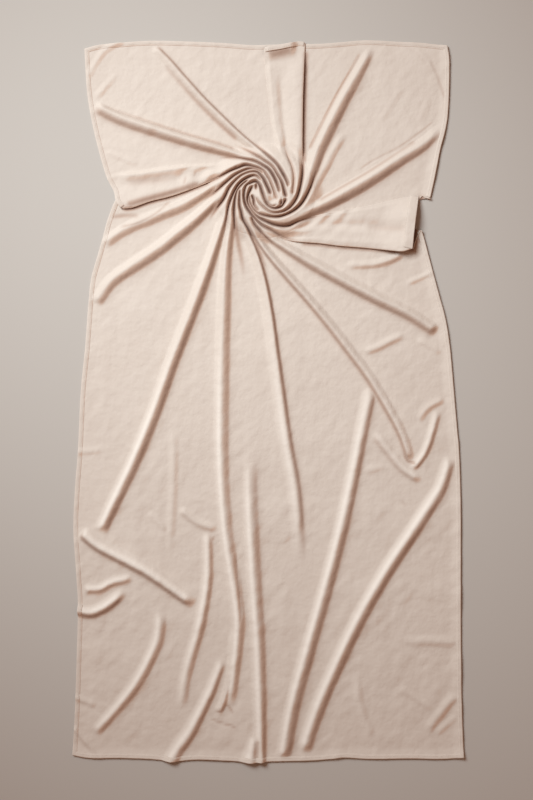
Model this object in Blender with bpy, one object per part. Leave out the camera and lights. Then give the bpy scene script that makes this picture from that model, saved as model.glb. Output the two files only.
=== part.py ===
"""Jersey hijab laid flat, its middle twisted into a rosette with folds running out from it.

Sizes are in metres, +Z up. The cloth lies on the plane z = 0; +Y points to its short upper end. Positions
are read on a drawing grid of 2 mm squares, x to the right and y down the cloth, turned into metres by at().
"""

import math

import bmesh
import bpy
from mathutils import Vector
from mathutils.geometry import delaunay_2d_cdt

# ------------------------------------------------------------------ driving sizes
GRID = 0.002  # one square of the drawing grid
GRID_X0 = 268.0  # grid line through the middle of the width
GRID_Y0 = 401.0  # grid line through the middle of the length
CLOTH_T = 0.0020  # wall of a single layer, with its loft
HEM_T = 0.0028  # turned hem, two layers pressed
HEM_W = 3.6  # width of the hem, in squares
SEAM = 0.00015  # half the gap between neighbouring pieces
PLEAT_RISE = 0.0062  # height of a folded pleat at its folded edge
PLEAT_ROUND = 0.0007  # how far the rounded layers stand out at a pleat's edge
ROSETTE_AT = (265.0, 194.0)  # middle of the twist, in squares
ROSETTE_R = (40.0, 35.0)  # half sizes of the twisted heap, in squares
ROSETTE_RISE = 0.0235  # height of the heap over its broad ring
ROSETTE_DIP = 0.0100  # how much lower the eye of the twist is
ROSETTE_SKIRT = 1.42  # where the heap's slope meets the flat cloth, as a share of its half size
CREASE_DEPTH = 0.0062  # depth of the creases between neighbouring rolls
CREASE_HALF = 2.7  # half width of a roll, in squares
STATION = 13.0  # spacing of the sections along a fold, in squares
BACKGROUND = 34.0  # spacing of the points on the flat cloth, in squares

# ------------------------------------------------------------------ edges of the cloth, in squares
# name, spacing of its sections, line from its first end to its last, clockwise
EDGES = [
    ("top_left", 10.0, [(84.5, 49), (120, 43), (150, 41), (180, 41.5), (220, 43), (264.3, 45.5)]),
    ("pleat_top", 10.0, [(264.3, 48), (280, 46), (292, 43.5), (304, 42)]),
    ("top_right", 10.0, [(304, 44.5), (340, 42.5), (366, 40.5), (400, 42), (447, 46)]),
    ("right_upper", 12.0, [(447, 46), (449, 80), (447, 120), (440, 150), (434, 180), (429, 198)]),
    ("pleat_right", 10.0, [(418.5, 196.5), (417.5, 205), (414, 222), (411.5, 248.5)]),
    ("right_lower", 13.0, [(420.5, 231), (423, 236), (430, 262), (438, 292), (445, 318), (451, 360), (455.5, 410),
                           (459, 455), (460.5, 510), (460.5, 600), (461.5, 690), (463.5, 757)]),
    ("bottom", 6.5, [(463.5, 757), (430, 758.5), (370, 758.5), (345, 757), (310, 760), (262, 761.5), (235, 760.5),
                     (190, 759), (150, 758.5), (100, 757.5), (72.5, 754.5)]),
    ("left_lower", 13.0, [(72.5, 754.5), (75, 710), (77, 650), (78, 605), (73.5, 530), (76.5, 470), (80, 410),
                          (85, 350), (89, 295), (97, 258), (107, 222), (112.5, 207)]),
    ("pleat_left", 8.0, [(121, 208.5), (116, 201), (114.5, 192), (107.5, 179)]),
    ("left_upper", 12.0, [(107.5, 179), (103, 166), (96, 140), (89, 106), (84.5, 49)]),
]
TUCKED_CORNER = [(415.2, 248.9), (416, 240)]  # corner of the lower panel that shows beside the right pleat

# ------------------------------------------------------------------ lines where the pleats lie on the cloth
LINE_LEFT_SOFT = [(107.5, 179), (127, 175), (155, 172), (190, 167.5), (220, 165.5)]
LINE_LEFT_FOLD = [(121, 208.5), (140, 204), (160, 198.5), (180, 192), (200, 186), (220, 177)]
LINE_TOP_SOFT = [(264.3, 46), (268, 90), (272, 125), (278, 148)]
LINE_TOP_FOLD = [(304, 42), (305, 75), (303, 105), (302.5, 140), (302.3, 165)]
LINE_RIGHT_SOFT = [(418.5, 196.5), (400, 199), (360, 208), (320, 215), (300, 221)]
LINE_RIGHT_FOLD = [(411.5, 248.5), (400, 251), (380, 248.5), (340, 245.5), (300, 241.5), (282, 236)]

# where each of those lines runs into the twist, as an angle round it in degrees (0 to the right, 90 up the cloth)
TURN_LEFT_SOFT = 116.0
TURN_LEFT_FOLD = 132.0
TURN_TOP_SOFT = 62.0
TURN_TOP_FOLD = 23.0
TURN_RIGHT_SOFT = -61.0
TURN_RIGHT_FOLD = -88.0

# ------------------------------------------------------------------ folds: half widths in squares, rise in mm
# name, half width at the first point, half width at the last point, rise, crest line
FOLDS = [
    ("top_left", 8.0, 5.0, 9.0, [(153, 44), (167, 62), (190, 87), (220, 118), (245, 142), (262, 156)]),
    ("left_high", 6.5, 4.5, 8.0, [(97, 103), (120, 117), (150, 127), (185, 140), (220, 149), (250, 158)]),
    ("left_low", 6.0, 5.0, 8.5, [(103, 245), (120, 231), (150, 218), (180, 205), (200, 194), (217, 182)]),
    ("left_wide", 9.0, 5.0, 11.0, [(96, 302), (110, 281), (135, 262), (165, 242), (195, 216), (226, 190)]),
    ("long_left", 9.5, 6.0, 13.0, [(102, 529), (122, 486), (147, 431), (169, 368), (188, 312), (205, 262), (224, 210)]),
    ("long_mid", 7.5, 5.0, 11.0, [(234, 660), (237, 600), (227, 540), (221, 480), (221, 400), (222, 300), (231, 222)]),
    ("to_hem", 8.5, 6.0, 9.5, [(262, 761), (259, 700), (256, 640), (250, 570), (248, 500), (246, 452)]),
    ("mid_right", 6.5, 5.0, 10.0, [(296, 530), (288, 440), (279, 380), (272, 320), (262, 268), (241, 218)]),
    ("right_slant", 8.5, 6.0, 12.0, [(411, 458), (390, 412), (365, 370), (330, 325), (295, 282), (256, 230)]),
    ("right_wide", 8.0, 5.0, 10.0, [(439, 332), (410, 312), (380, 299), (345, 281), (310, 261), (282, 242)]),
    ("right_high", 8.0, 6.0, 11.0, [(444, 123), (420, 140), (395, 160), (365, 180), (330, 200), (302, 213)]),
    ("top_right", 7.5, 5.5, 11.0, [(371, 44), (356, 72), (338, 106), (322, 140), (312, 170), (305, 192)]),
    ("top_soft", 7.0, 6.0, 5.0, [(339, 140), (325, 165), (316, 188)]),
    ("loose_a", 7.0, 6.0, 8.0, [(82, 533), (110, 551), (150, 572), (194, 602)]),
    ("loose_b", 5.0, 5.0, 4.5, [(88, 590), (105, 587), (130, 578)]),
    ("loose_c", 8.0, 6.0, 8.5, [(76, 609), (100, 607), (122, 592)]),
    ("loose_d", 6.0, 6.5, 7.0, [(161, 618), (153, 650), (134, 686), (94, 735)]),
    ("loose_e", 6.5, 6.0, 7.5, [(208, 545), (206, 595), (196, 640), (183, 692)]),
    ("loose_f", 6.5, 8.0, 8.0, [(221, 665), (208, 697), (190, 730), (170, 760)]),
    ("loose_g", 5.0, 5.5, 6.0, [(233, 668), (228, 690), (217, 708)]),
    ("loose_h", 5.0, 5.0, 4.5, [(184, 512), (200, 522), (216, 527)]),
    ("slant_a", 8.0, 9.5, 10.0, [(370, 394), (355, 460), (335, 540), (312, 630), (290, 710), (280, 760)]),
    ("slant_b", 7.0, 9.0, 10.0, [(449, 459), (425, 508), (385, 567), (350, 630), (320, 695), (301, 759)]),
    ("fork_a", 6.0, 5.0, 7.5, [(436, 422), (425, 450), (411, 467)]),
    ("fork_b", 6.0, 5.0, 6.0, [(382, 447), (398, 465), (417, 476)]),
    ("short_a", 5.0, 5.0, 4.0, [(365, 352), (385, 342), (403, 335)]),
    ("short_b", 5.0, 5.0, 4.0, [(403, 639), (426, 640), (448, 642)]),
    ("short_c", 5.5, 5.5, 5.0, [(453, 697), (440, 712), (425, 730)]),
    ("short_d", 5.5, 5.5, 5.0, [(348, 264), (375, 263), (400, 256)]),
]

# ------------------------------------------------------------------ creases between the rolls of the twist
CREASES = [
    [(267, 155.5), (274, 162), (281, 172), (285, 180.5), (288, 188.5)],
    [(256, 156), (268, 164), (275, 171.5), (280, 180), (284, 191), (285.5, 200), (283, 205)],
    [(236, 158), (252, 161.5), (264, 167.5), (272, 175), (277, 184), (280, 194)],
    [(246, 166), (255, 168.5), (263, 172), (269, 180), (274, 191), (277, 201)],
    [(216, 192), (230, 180), (240, 173.5), (253, 169.8), (262, 173.5)],
    [(224, 200), (230, 188.5), (240, 178), (250, 173.5), (260, 176), (268, 188.5), (271, 195)],
    [(225, 223), (230, 203), (236, 190), (243, 182.5), (253, 177), (262, 181)],
    [(235, 223), (234.8, 206), (238, 190), (247, 181.5)],
    [(245, 190), (252, 183.7), (258, 184), (262.5, 195), (267, 205), (275, 209.5), (284, 204)],
    [(240, 195), (240.5, 205), (242, 217), (249, 231)],
    [(244.5, 190), (244.3, 201), (251, 214), (260, 226)],
    [(247.5, 202), (254, 214), (265, 222), (276, 226), (290, 226)],
    [(250.5, 202), (255.5, 212), (262, 216), (275, 218), (285, 216), (296, 210), (308, 194), (314, 175)],
    [(255, 201), (264, 208.5), (276, 214), (285, 212), (294, 203.5), (300, 190), (302.3, 168)],
]

BASE_COLOR = (0.72, 0.60, 0.53, 1.0)


def at(x, y, z=0.0):
    """Metres of a point given on the drawing grid."""
    return Vector(((x - GRID_X0) * GRID, (GRID_Y0 - y) * GRID, z))


# ------------------------------------------------------------------ curves on the grid
def curve(points, step):
    """Catmull-Rom curve through the points, as points about step apart, ends kept."""
    pts = [Vector(p) for p in points]
    pts = [2 * pts[0] - pts[1]] + pts + [2 * pts[-1] - pts[-2]]
    fine = []
    for a, b, c, d in zip(pts, pts[1:], pts[2:], pts[3:]):
        for k in range(16):
            t = k / 16
            fine.append(0.5 * (2 * b + (c - a) * t + (2 * a - 5 * b + 4 * c - d) * t * t
                               + (3 * b - a - 3 * c + d) * t ** 3))
    fine.append(pts[-2])
    length = sum((q - p).length for p, q in zip(fine, fine[1:]))
    count = max(2, round(length / step))
    out, run, k = [fine[0]], 0.0, 1
    for p, q in zip(fine, fine[1:]):
        span = (q - p).length
        while span > 0 and run + span >= length * k / count - 1e-9 and k < count:
            out.append(p.lerp(q, (length * k / count - run) / span))
            k += 1
        run += span
    out.append(fine[-1])
    return out


def nearest(line, p):
    """Distance from p to a line of points, and how far along it that is, 0 to 1."""
    best, where = 1e9, 0.0
    for k, (a, b) in enumerate(zip(line, line[1:])):
        d = b - a
        t = min(1.0, max(0.0, (p - a).dot(d) / max(d.length_squared, 1e-12)))
        gap = (p - a - d * t).length
        if gap < best:
            best, where = gap, (k + t) / (len(line) - 1)
    return best, where


def on_twist(degrees, grow=0.0):
    """Point of the twisted heap's outline at an angle, grown by some squares."""
    a = math.radians(degrees)
    return Vector((ROSETTE_AT[0] + (ROSETTE_R[0] + grow) * math.cos(a), ROSETTE_AT[1] - (ROSETTE_R[1] + grow) * math.sin(a)))


def arc(first, last):
    """Outline of the heap from one angle to another, end points left out."""
    count = max(2, round(abs(last - first) / 9.0))
    return [on_twist(first + (last - first) * k / count) for k in range(1, count)]


# ------------------------------------------------------------------ height of the cloth
FOLD_LINES = [(curve(points, 8.0), near, far, rise / 1000.0) for _, near, far, rise, points in FOLDS]
CREASE_LINES = [curve(points, 2.6) for points in CREASES]


def fold_height(p):
    """Height that the folds lift the cloth to at p."""
    height = 0.0
    for line, near, far, rise in FOLD_LINES:
        if min(abs(p.x - q.x) + abs(p.y - q.y) for q in line) > 30:
            continue
        gap, s = nearest(line, p)
        half = near + (far - near) * s
        if gap < half:
            ends = min(1.0, 0.45 + s * 2.2, 0.72 + (1 - s) * 1.4)
            height = max(height, rise * ends * (1 - (gap / half) ** 2) ** 2)
    return height


def smooth(t):
    """0 below 0, 1 above 1, eased between."""
    t = min(1.0, max(0.0, t))
    return t * t * (3 - 2 * t)


def heap_height(p):
    """Height of the twisted heap at p, with its rolls in relief."""
    r = math.hypot((p.x - ROSETTE_AT[0]) / ROSETTE_R[0], (p.y - ROSETTE_AT[1]) / ROSETTE_R[1])
    if r >= ROSETTE_SKIRT:
        return 0.0
    body = ROSETTE_RISE * smooth((ROSETTE_SKIRT - r) / (ROSETTE_SKIRT - 0.55)) - ROSETTE_DIP * smooth(1 - r / 0.42)
    gap = min(nearest(line, p)[0] for line in CREASE_LINES)
    sunk = CREASE_DEPTH * (1 - min(1.0, gap / CREASE_HALF)) ** 1.3 * smooth((ROSETTE_SKIRT - r) / 0.5)
    return max(0.0, body - sunk)


def lift(p):
    """Underside of the cloth at p: folds, and the slope of the heap."""
    return max(fold_height(p), heap_height(p))


# ------------------------------------------------------------------ outlines
def inset(loop, by):
    """Closed outline moved inwards by some squares (the outline runs clockwise on the grid, y down)."""
    out = []
    for k, p in enumerate(loop):
        a = (p - loop[k - 1]).normalized()
        b = (loop[(k + 1) % len(loop)] - p).normalized()
        na, nb = Vector((-a.y, a.x)), Vector((-b.y, b.x))
        m = na + nb
        out.append(p + m * (by / max(m.dot(na), 0.35)))
    return out


def beside(line, by):
    """Open line moved to its right-hand side on the grid, which is inwards for every edge."""
    out = []
    for k, p in enumerate(line):
        a = (p - line[k - 1]).normalized() if k else (line[1] - p).normalized()
        b = (line[k + 1] - p).normalized() if k + 1 < len(line) else a
        m = Vector((-a.y - b.y, a.x + b.x))
        out.append(p + m * (by / max(m.dot(Vector((-a.y, a.x))), 0.35)))
    return out


def crossing(a, b, c, d):
    """Where the line through a and b crosses the line through c and d."""
    u, v = b - a, d - c
    return a + u * (((c.x - a.x) * v.y - (c.y - a.y) * v.x) / (u.x * v.y - u.y * v.x))


def mitre(before, corner, after):
    """Line that halves a corner, as two points."""
    corner = Vector(corner)
    a, b = (corner - Vector(before)).normalized(), (Vector(after) - corner).normalized()
    return corner, corner + Vector((-a.y - b.y, a.x + b.x))


def hem_lines():
    """Outer and inner line of each hem, both cut where the hem meets its neighbour."""
    points = {name: pts for name, _, pts in EDGES}

    def corner(first, last):
        return mitre(points[first][-2], points[first][-1], points[last][1])

    def fold(line):
        return Vector(line[0]), Vector(line[1])

    ends = {
        "top_left": (corner("left_upper", "top_left"), fold(LINE_TOP_SOFT)),
        "pleat_top": (fold(LINE_TOP_SOFT), fold(LINE_TOP_FOLD)),
        "top_right": (fold(LINE_TOP_FOLD), corner("top_right", "right_upper")),
        "right_upper": (corner("top_right", "right_upper"), fold(LINE_RIGHT_SOFT)),
        "pleat_right": (fold(LINE_RIGHT_SOFT), fold(LINE_RIGHT_FOLD)),
        "right_lower": ((Vector(TUCKED_CORNER[-1]), Vector(points["right_lower"][0])), corner("right_lower", "bottom")),
        "bottom": (corner("right_lower", "bottom"), corner("bottom", "left_lower")),
        "left_lower": (corner("bottom", "left_lower"), (Vector((112.5, 207)), Vector(LINE_LEFT_FOLD[0]))),
        "pleat_left": (fold(LINE_LEFT_FOLD), fold(LINE_LEFT_SOFT)),
        "left_upper": (fold(LINE_LEFT_SOFT), corner("left_upper", "top_left")),
    }
    lines = {}
    for name, spacing, pts in EDGES:
        outer = curve(pts, spacing)
        inner = beside(outer, HEM_W)
        for line in (outer, inner):
            line[0] = crossing(line[0], line[1], *ends[name][0])
            line[-1] = crossing(line[-1], line[-2], *ends[name][1])
        lines[name] = (outer, inner)
    return lines


def outlines():
    """Closed outline of each panel and pleat and of the twisted heap, clockwise on the grid."""
    rim = {name: inner for name, (_, inner) in hem_lines().items()}

    def run(line, angle):
        return [Vector(p) for p in line[1:]] + [on_twist(angle)]

    left_soft, left_fold = run(LINE_LEFT_SOFT, TURN_LEFT_SOFT), run(LINE_LEFT_FOLD, TURN_LEFT_FOLD)
    top_soft, top_fold = run(LINE_TOP_SOFT, TURN_TOP_SOFT), run(LINE_TOP_FOLD, TURN_TOP_FOLD)
    right_soft, right_fold = run(LINE_RIGHT_SOFT, TURN_RIGHT_SOFT), run(LINE_RIGHT_FOLD, TURN_RIGHT_FOLD)
    turns = [TURN_RIGHT_FOLD, TURN_RIGHT_SOFT, TURN_TOP_FOLD, TURN_TOP_SOFT, TURN_LEFT_SOFT, TURN_LEFT_FOLD,
             TURN_RIGHT_FOLD + 360.0]
    heap = []
    for first, last in zip(turns, turns[1:]):
        heap += [on_twist(first)] + arc(first, last)
    return {
        "panel_upper_left": rim["left_upper"] + rim["top_left"][1:] + top_soft + arc(turns[3], turns[4])
        + left_soft[::-1],
        "panel_upper_right": top_fold[::-1] + rim["top_right"] + rim["right_upper"][1:] + right_soft
        + arc(turns[1], turns[2]),
        "panel_lower": left_fold + arc(turns[5], turns[6]) + right_fold[::-1] + [Vector(LINE_RIGHT_FOLD[0])]
        + [Vector(p) for p in TUCKED_CORNER] + rim["right_lower"] + rim["bottom"][1:] + rim["left_lower"][1:]
        + [Vector(LINE_LEFT_FOLD[0])],
        "pleat_left": left_soft + arc(turns[4], turns[5]) + left_fold[::-1] + rim["pleat_left"],
        "pleat_top": top_soft[::-1] + rim["pleat_top"] + top_fold + arc(turns[2], turns[3]),
        "pleat_right": right_soft[::-1] + rim["pleat_right"] + right_fold + arc(turns[0], turns[1]),
        "rosette": heap[::-1],
    }


def inside(loop, p):
    """Whether p lies inside a closed outline."""
    hit = False
    for a, b in zip(loop, loop[1:] + loop[:1]):
        if (a.y > p.y) != (b.y > p.y) and p.x < a.x + (b.x - a.x) * (p.y - a.y) / (b.y - a.y):
            hit = not hit
    return hit


# ------------------------------------------------------------------ points of a sheet
class Cloud:
    """Points of a sheet, none closer to another than asked."""

    def __init__(self, loop):
        self.loop = loop
        self.rim = loop + loop[:1]
        self.points = []

    def add(self, p, apart):
        """Keeps p if it is inside, clear of the outline and of the points already kept."""
        if any(abs(p.x - q.x) < apart and abs(p.y - q.y) < apart and (p - q).length < apart for q in self.points):
            return
        if inside(self.loop, p) and nearest(self.rim, p)[0] > apart * 0.6:
            self.points.append(p)


def sections(line, near, far):
    """Points across a fold: its crest first, then its flanks, then its feet and its two ends."""
    rows = []
    for share in (0.0, 0.5, -0.5, 1.0, -1.0):
        for k, p in enumerate(line):
            a, b = line[max(0, k - 1)], line[min(len(line) - 1, k + 1)]
            d = (b - a).normalized()
            half = near + (far - near) * k / (len(line) - 1)
            rows.append(p + Vector((-d.y, d.x)) * half * share)
    rows.append(line[0] + (line[0] - line[1]).normalized() * near)
    rows.append(line[-1] + (line[-1] - line[-2]).normalized() * far)
    return rows


def sheet(loop, height):
    """Triangulated top of a piece as a bmesh, lifted by height(p)."""
    cloud = Cloud(loop)
    for line in CREASE_LINES:
        for p in line:
            cloud.add(p, 1.9)
    for _, near, far, _, points in FOLDS:
        for p in sections(curve(points, STATION), near, far):
            cloud.add(p, 3.0)
    cx, cy = ROSETTE_AT
    for row in range(-34, 35):
        for col in range(-34, 35):
            p = Vector((cx + 2.3 * (col + 0.5 * (row % 2)), cy + 2.0 * row))
            r = math.hypot((p.x - cx) / ROSETTE_R[0], (p.y - cy) / ROSETTE_R[1])
            if r < ROSETTE_SKIRT + 0.1:
                cloud.add(p, 1.8 if r < 1.02 else 3.6)
    for row in range(24):
        for col in range(14):
            p = Vector((62 + BACKGROUND * (col + 0.5 * (row % 2)), 36 + BACKGROUND * 0.9 * row))
            cloud.add(p, BACKGROUND * 0.42)
    n = len(loop)
    verts, _, faces, _, _, _ = delaunay_2d_cdt(loop + cloud.points, [(k, (k + 1) % n) for k in range(n)], [], 1, 1e-6)
    bm = bmesh.new()
    made = [bm.verts.new(at(p.x, p.y, height(p))) for p in verts]
    for face in faces:
        bm.faces.new([made[k] for k in face])
    bmesh.ops.delete(bm, geom=[v for v in bm.verts if not v.link_faces], context="VERTS")
    bmesh.ops.recalc_face_normals(bm, faces=bm.faces[:])
    if sum(f.normal.z for f in bm.faces) < 0:
        bmesh.ops.reverse_faces(bm, faces=bm.faces[:])
    return bm


def thicken(bm, thickness):
    """Closes an open sheet straight upwards into a wall of one layer."""
    made = bmesh.ops.extrude_face_region(bm, geom=bm.faces[:], use_keep_orig=True)
    fresh = [g for g in made["geom"] if isinstance(g, bmesh.types.BMVert)]
    bmesh.ops.translate(bm, vec=(0, 0, thickness), verts=fresh)
    bmesh.ops.recalc_face_normals(bm, faces=bm.faces[:])
    return bm


def outwards(v):
    """Level direction that points away from a sheet at a vertex of its rim."""
    way = Vector((0, 0, 0))
    for e in v.link_edges:
        if e.is_boundary:
            d = e.verts[1].co - e.verts[0].co
            level = Vector((d.y, -d.x, 0)).normalized()
            way += level if level.dot(e.link_faces[0].calc_center_median() - e.verts[0].co) < 0 else -level
    return way.normalized()


def settle(bm, profile):
    """Closes a sheet down to the plane it lies on. Its rim follows a profile: metres outwards, share of its height."""
    rim = [e for e in bm.edges if e.is_boundary]
    known = {tuple(v.co): (v.co.copy(), outwards(v)) for e in rim for v in e.verts}
    for out, share in profile:
        made = bmesh.ops.extrude_edge_only(bm, edges=rim)["geom"]
        ring = [g for g in made if isinstance(g, bmesh.types.BMVert)]
        rim = [g for g in made if isinstance(g, bmesh.types.BMEdge) and g.is_boundary]
        then = {}
        for v in ring:
            home, way = known[tuple(v.co)]
            v.co = Vector((home.x, home.y, home.z * share)) + way * out
            then[tuple(v.co)] = (home, way)
        known = then
    bmesh.ops.holes_fill(bm, edges=rim, sides=0)
    bmesh.ops.recalc_face_normals(bm, faces=bm.faces[:])
    return bm


def strip(outer, inner):
    """Turned hem between two lines, its outer upper edge rounded."""
    loop = inset(outer + inner[::-1], SEAM / GRID)
    n = len(outer)
    bm = bmesh.new()
    bmesh.ops.create_grid(bm, x_segments=n - 1, y_segments=1, size=1.0)
    bm.verts.ensure_lookup_table()
    order = sorted(bm.verts, key=lambda v: (v.co.y, v.co.x))
    for k, v in enumerate(order):
        p = loop[k] if k < n else loop[3 * n - 1 - k]
        v.co = at(p.x, p.y, lift(p))
    bmesh.ops.recalc_face_normals(bm, faces=bm.faces[:])
    if sum(f.normal.z for f in bm.faces) < 0:
        bmesh.ops.reverse_faces(bm, faces=bm.faces[:])
    outside = {tuple(v.co.xy) for v in order[:n]}
    thicken(bm, HEM_T)
    round_off = [e for e in bm.edges
                 if all(tuple(v.co.xy) in outside and v.co.z > lift_at(v.co) + HEM_T / 2 for v in e.verts)]
    bmesh.ops.bevel(bm, geom=round_off, offset=0.0009, segments=1, profile=0.5, affect="EDGES", material=-1)
    return bm


def lift_at(co):
    """Underside of the cloth at a place in metres."""
    return lift(Vector((co.x / GRID + GRID_X0, GRID_Y0 - co.y / GRID)))


def pleat_height(soft, fold):
    """Height of a folded pleat: one layer at its soft line, its full rise at its folded edge."""
    soft = [Vector(p) for p in soft]
    fold = [Vector(p) for p in fold]

    def height(p):
        near, far = nearest(soft, p)[0], nearest(fold, p)[0]
        share = near / max(near + far, 1e-6)
        return max(CLOTH_T + (PLEAT_RISE - CLOTH_T) * smooth(share) ** 0.7, heap_height(p) + CLOTH_T)

    return height


# ------------------------------------------------------------------ objects
def material(name, color, roughness):
    """Plain cloth material."""
    made = bpy.data.materials.new(name)
    made.use_nodes = True
    shader = made.node_tree.nodes["Principled BSDF"]
    shader.inputs["Base Color"].default_value = color
    shader.inputs["Roughness"].default_value = roughness
    return made


def piece(name, bm, collection, shade):
    """One named object of one closed body, with its own material."""
    bmesh.ops.triangulate(bm, faces=[f for f in bm.faces if len(f.verts) > 3])
    mesh = bpy.data.meshes.new(name)
    bm.to_mesh(mesh)
    bm.free()
    mesh.materials.append(material(name, shade, 0.85))
    collection.objects.link(bpy.data.objects.new(name, mesh))


def main():
    for obj in list(bpy.data.objects):
        bpy.data.objects.remove(obj, do_unlink=True)
    collection = bpy.data.collections.new("jersey_hijab")
    bpy.context.scene.collection.children.link(collection)

    loops = outlines()
    gap = SEAM / GRID
    for name in ("panel_upper_left", "panel_upper_right", "panel_lower"):
        piece(name, thicken(sheet(inset(loops[name], gap), lift), CLOTH_T), collection, BASE_COLOR)

    layers = [(PLEAT_ROUND, 0.80), (PLEAT_ROUND, 0.64), (0.0, 0.52), (PLEAT_ROUND, 0.40), (PLEAT_ROUND, 0.16), (0.0, 0.0)]
    pleats = {
        "pleat_left": (LINE_LEFT_SOFT, LINE_LEFT_FOLD),
        "pleat_top": (LINE_TOP_SOFT, LINE_TOP_FOLD),
        "pleat_right": (LINE_RIGHT_SOFT, LINE_RIGHT_FOLD),
    }
    for name, (soft, fold) in pleats.items():
        top = sheet(inset(loops[name], gap + PLEAT_ROUND / GRID), pleat_height(soft, fold))
        piece(name, settle(top, layers), collection, BASE_COLOR)

    piece("rosette", settle(sheet(inset(loops["rosette"], gap), lambda p: lift(p) + CLOTH_T), [(0.0, 0.0)]),
          collection, BASE_COLOR)

    for name, (outer, inner) in hem_lines().items():
        piece("hem_" + name, strip(outer, inner), collection, BASE_COLOR)


main()
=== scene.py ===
"""Jersey hijab laid flat on a studio floor, its middle twisted into a rosette: the detailed visual model.

Positions on the cloth are read on a drawing grid of 2 mm squares, x to the right and y down the cloth.
Heights are in millimetres above the floor until a piece is built, and in metres from there on.
"""

import logging
import math
from dataclasses import dataclass
from enum import Enum
from typing import Callable, ClassVar, Sequence

import bmesh
import bpy
import numpy as np
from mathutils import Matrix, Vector


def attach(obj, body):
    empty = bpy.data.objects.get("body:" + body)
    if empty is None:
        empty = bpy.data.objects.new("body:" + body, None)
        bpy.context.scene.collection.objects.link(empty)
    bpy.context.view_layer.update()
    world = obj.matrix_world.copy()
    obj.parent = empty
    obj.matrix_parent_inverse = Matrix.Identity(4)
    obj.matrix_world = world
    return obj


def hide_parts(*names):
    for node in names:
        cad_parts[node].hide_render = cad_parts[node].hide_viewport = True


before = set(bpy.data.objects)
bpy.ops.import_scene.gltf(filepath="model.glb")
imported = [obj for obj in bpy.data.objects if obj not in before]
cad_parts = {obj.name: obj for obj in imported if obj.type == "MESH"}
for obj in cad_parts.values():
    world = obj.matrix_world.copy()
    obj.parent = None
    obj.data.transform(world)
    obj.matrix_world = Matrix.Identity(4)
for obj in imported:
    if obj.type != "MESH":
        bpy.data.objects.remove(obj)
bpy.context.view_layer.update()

LOG = logging.getLogger("jersey_hijab")

MM = 0.001  # metres in a millimetre
GRID = 0.002  # metres in one square of the drawing grid
GRID_ORIGIN = (268.0, 401.0)  # the grid point over the world origin

LEE = np.array([0.67, -0.74, 0.0])  # the way a slope faces when it faces straight away from the key light

Points = np.ndarray  # (n, 2) grid positions
Heights = np.ndarray  # (n,) millimetres
Line = Sequence[tuple[float, float]]


# --------------------------------------------------------------------------------------- curves and easing
def smooth(t: np.ndarray) -> np.ndarray:
    """Eases a value from 0 to 1.

    Args:
        t: Values, clamped to 0..1.

    Returns:
        The eased values.
    """
    t = np.clip(t, 0.0, 1.0)
    return t * t * (3.0 - 2.0 * t)


def slope(t: np.ndarray, ends: float = 0.22) -> np.ndarray:
    """Rises from 0 to 1 in a straight slope that is rounded at both ends.

    Args:
        t: Values, clamped to 0..1.
        ends: Share of the rise that is rounded at each end.

    Returns:
        The risen values.
    """
    t = np.clip(t, 0.0, 1.0)
    low, high = t**2 / (2.0 * ends), 1.0 - ends - (1.0 - t) ** 2 / (2.0 * ends)
    return np.where(t < ends, low, np.where(t > 1.0 - ends, high, t - ends / 2.0)) / (1.0 - ends)


def bell(t: np.ndarray, middle: float, half: float | np.ndarray) -> np.ndarray:
    """Rises to 1 at its middle and falls away smoothly on both sides.

    Args:
        t: Values.
        middle: Value at which it is 1.
        half: Distance from there at which it has fallen to 0.37.

    Returns:
        0 to 1 for each value.
    """
    return np.exp(-(((t - middle) / half) ** 2))


def along_table(values: Sequence[float], s: np.ndarray) -> np.ndarray:
    """Reads evenly spaced values at positions from 0 to 1.

    Args:
        values: Values at even steps along a line.
        s: Positions, 0 at the first value and 1 at the last.

    Returns:
        Interpolated values.
    """
    return np.interp(s, np.linspace(0.0, 1.0, len(values)), values)


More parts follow.
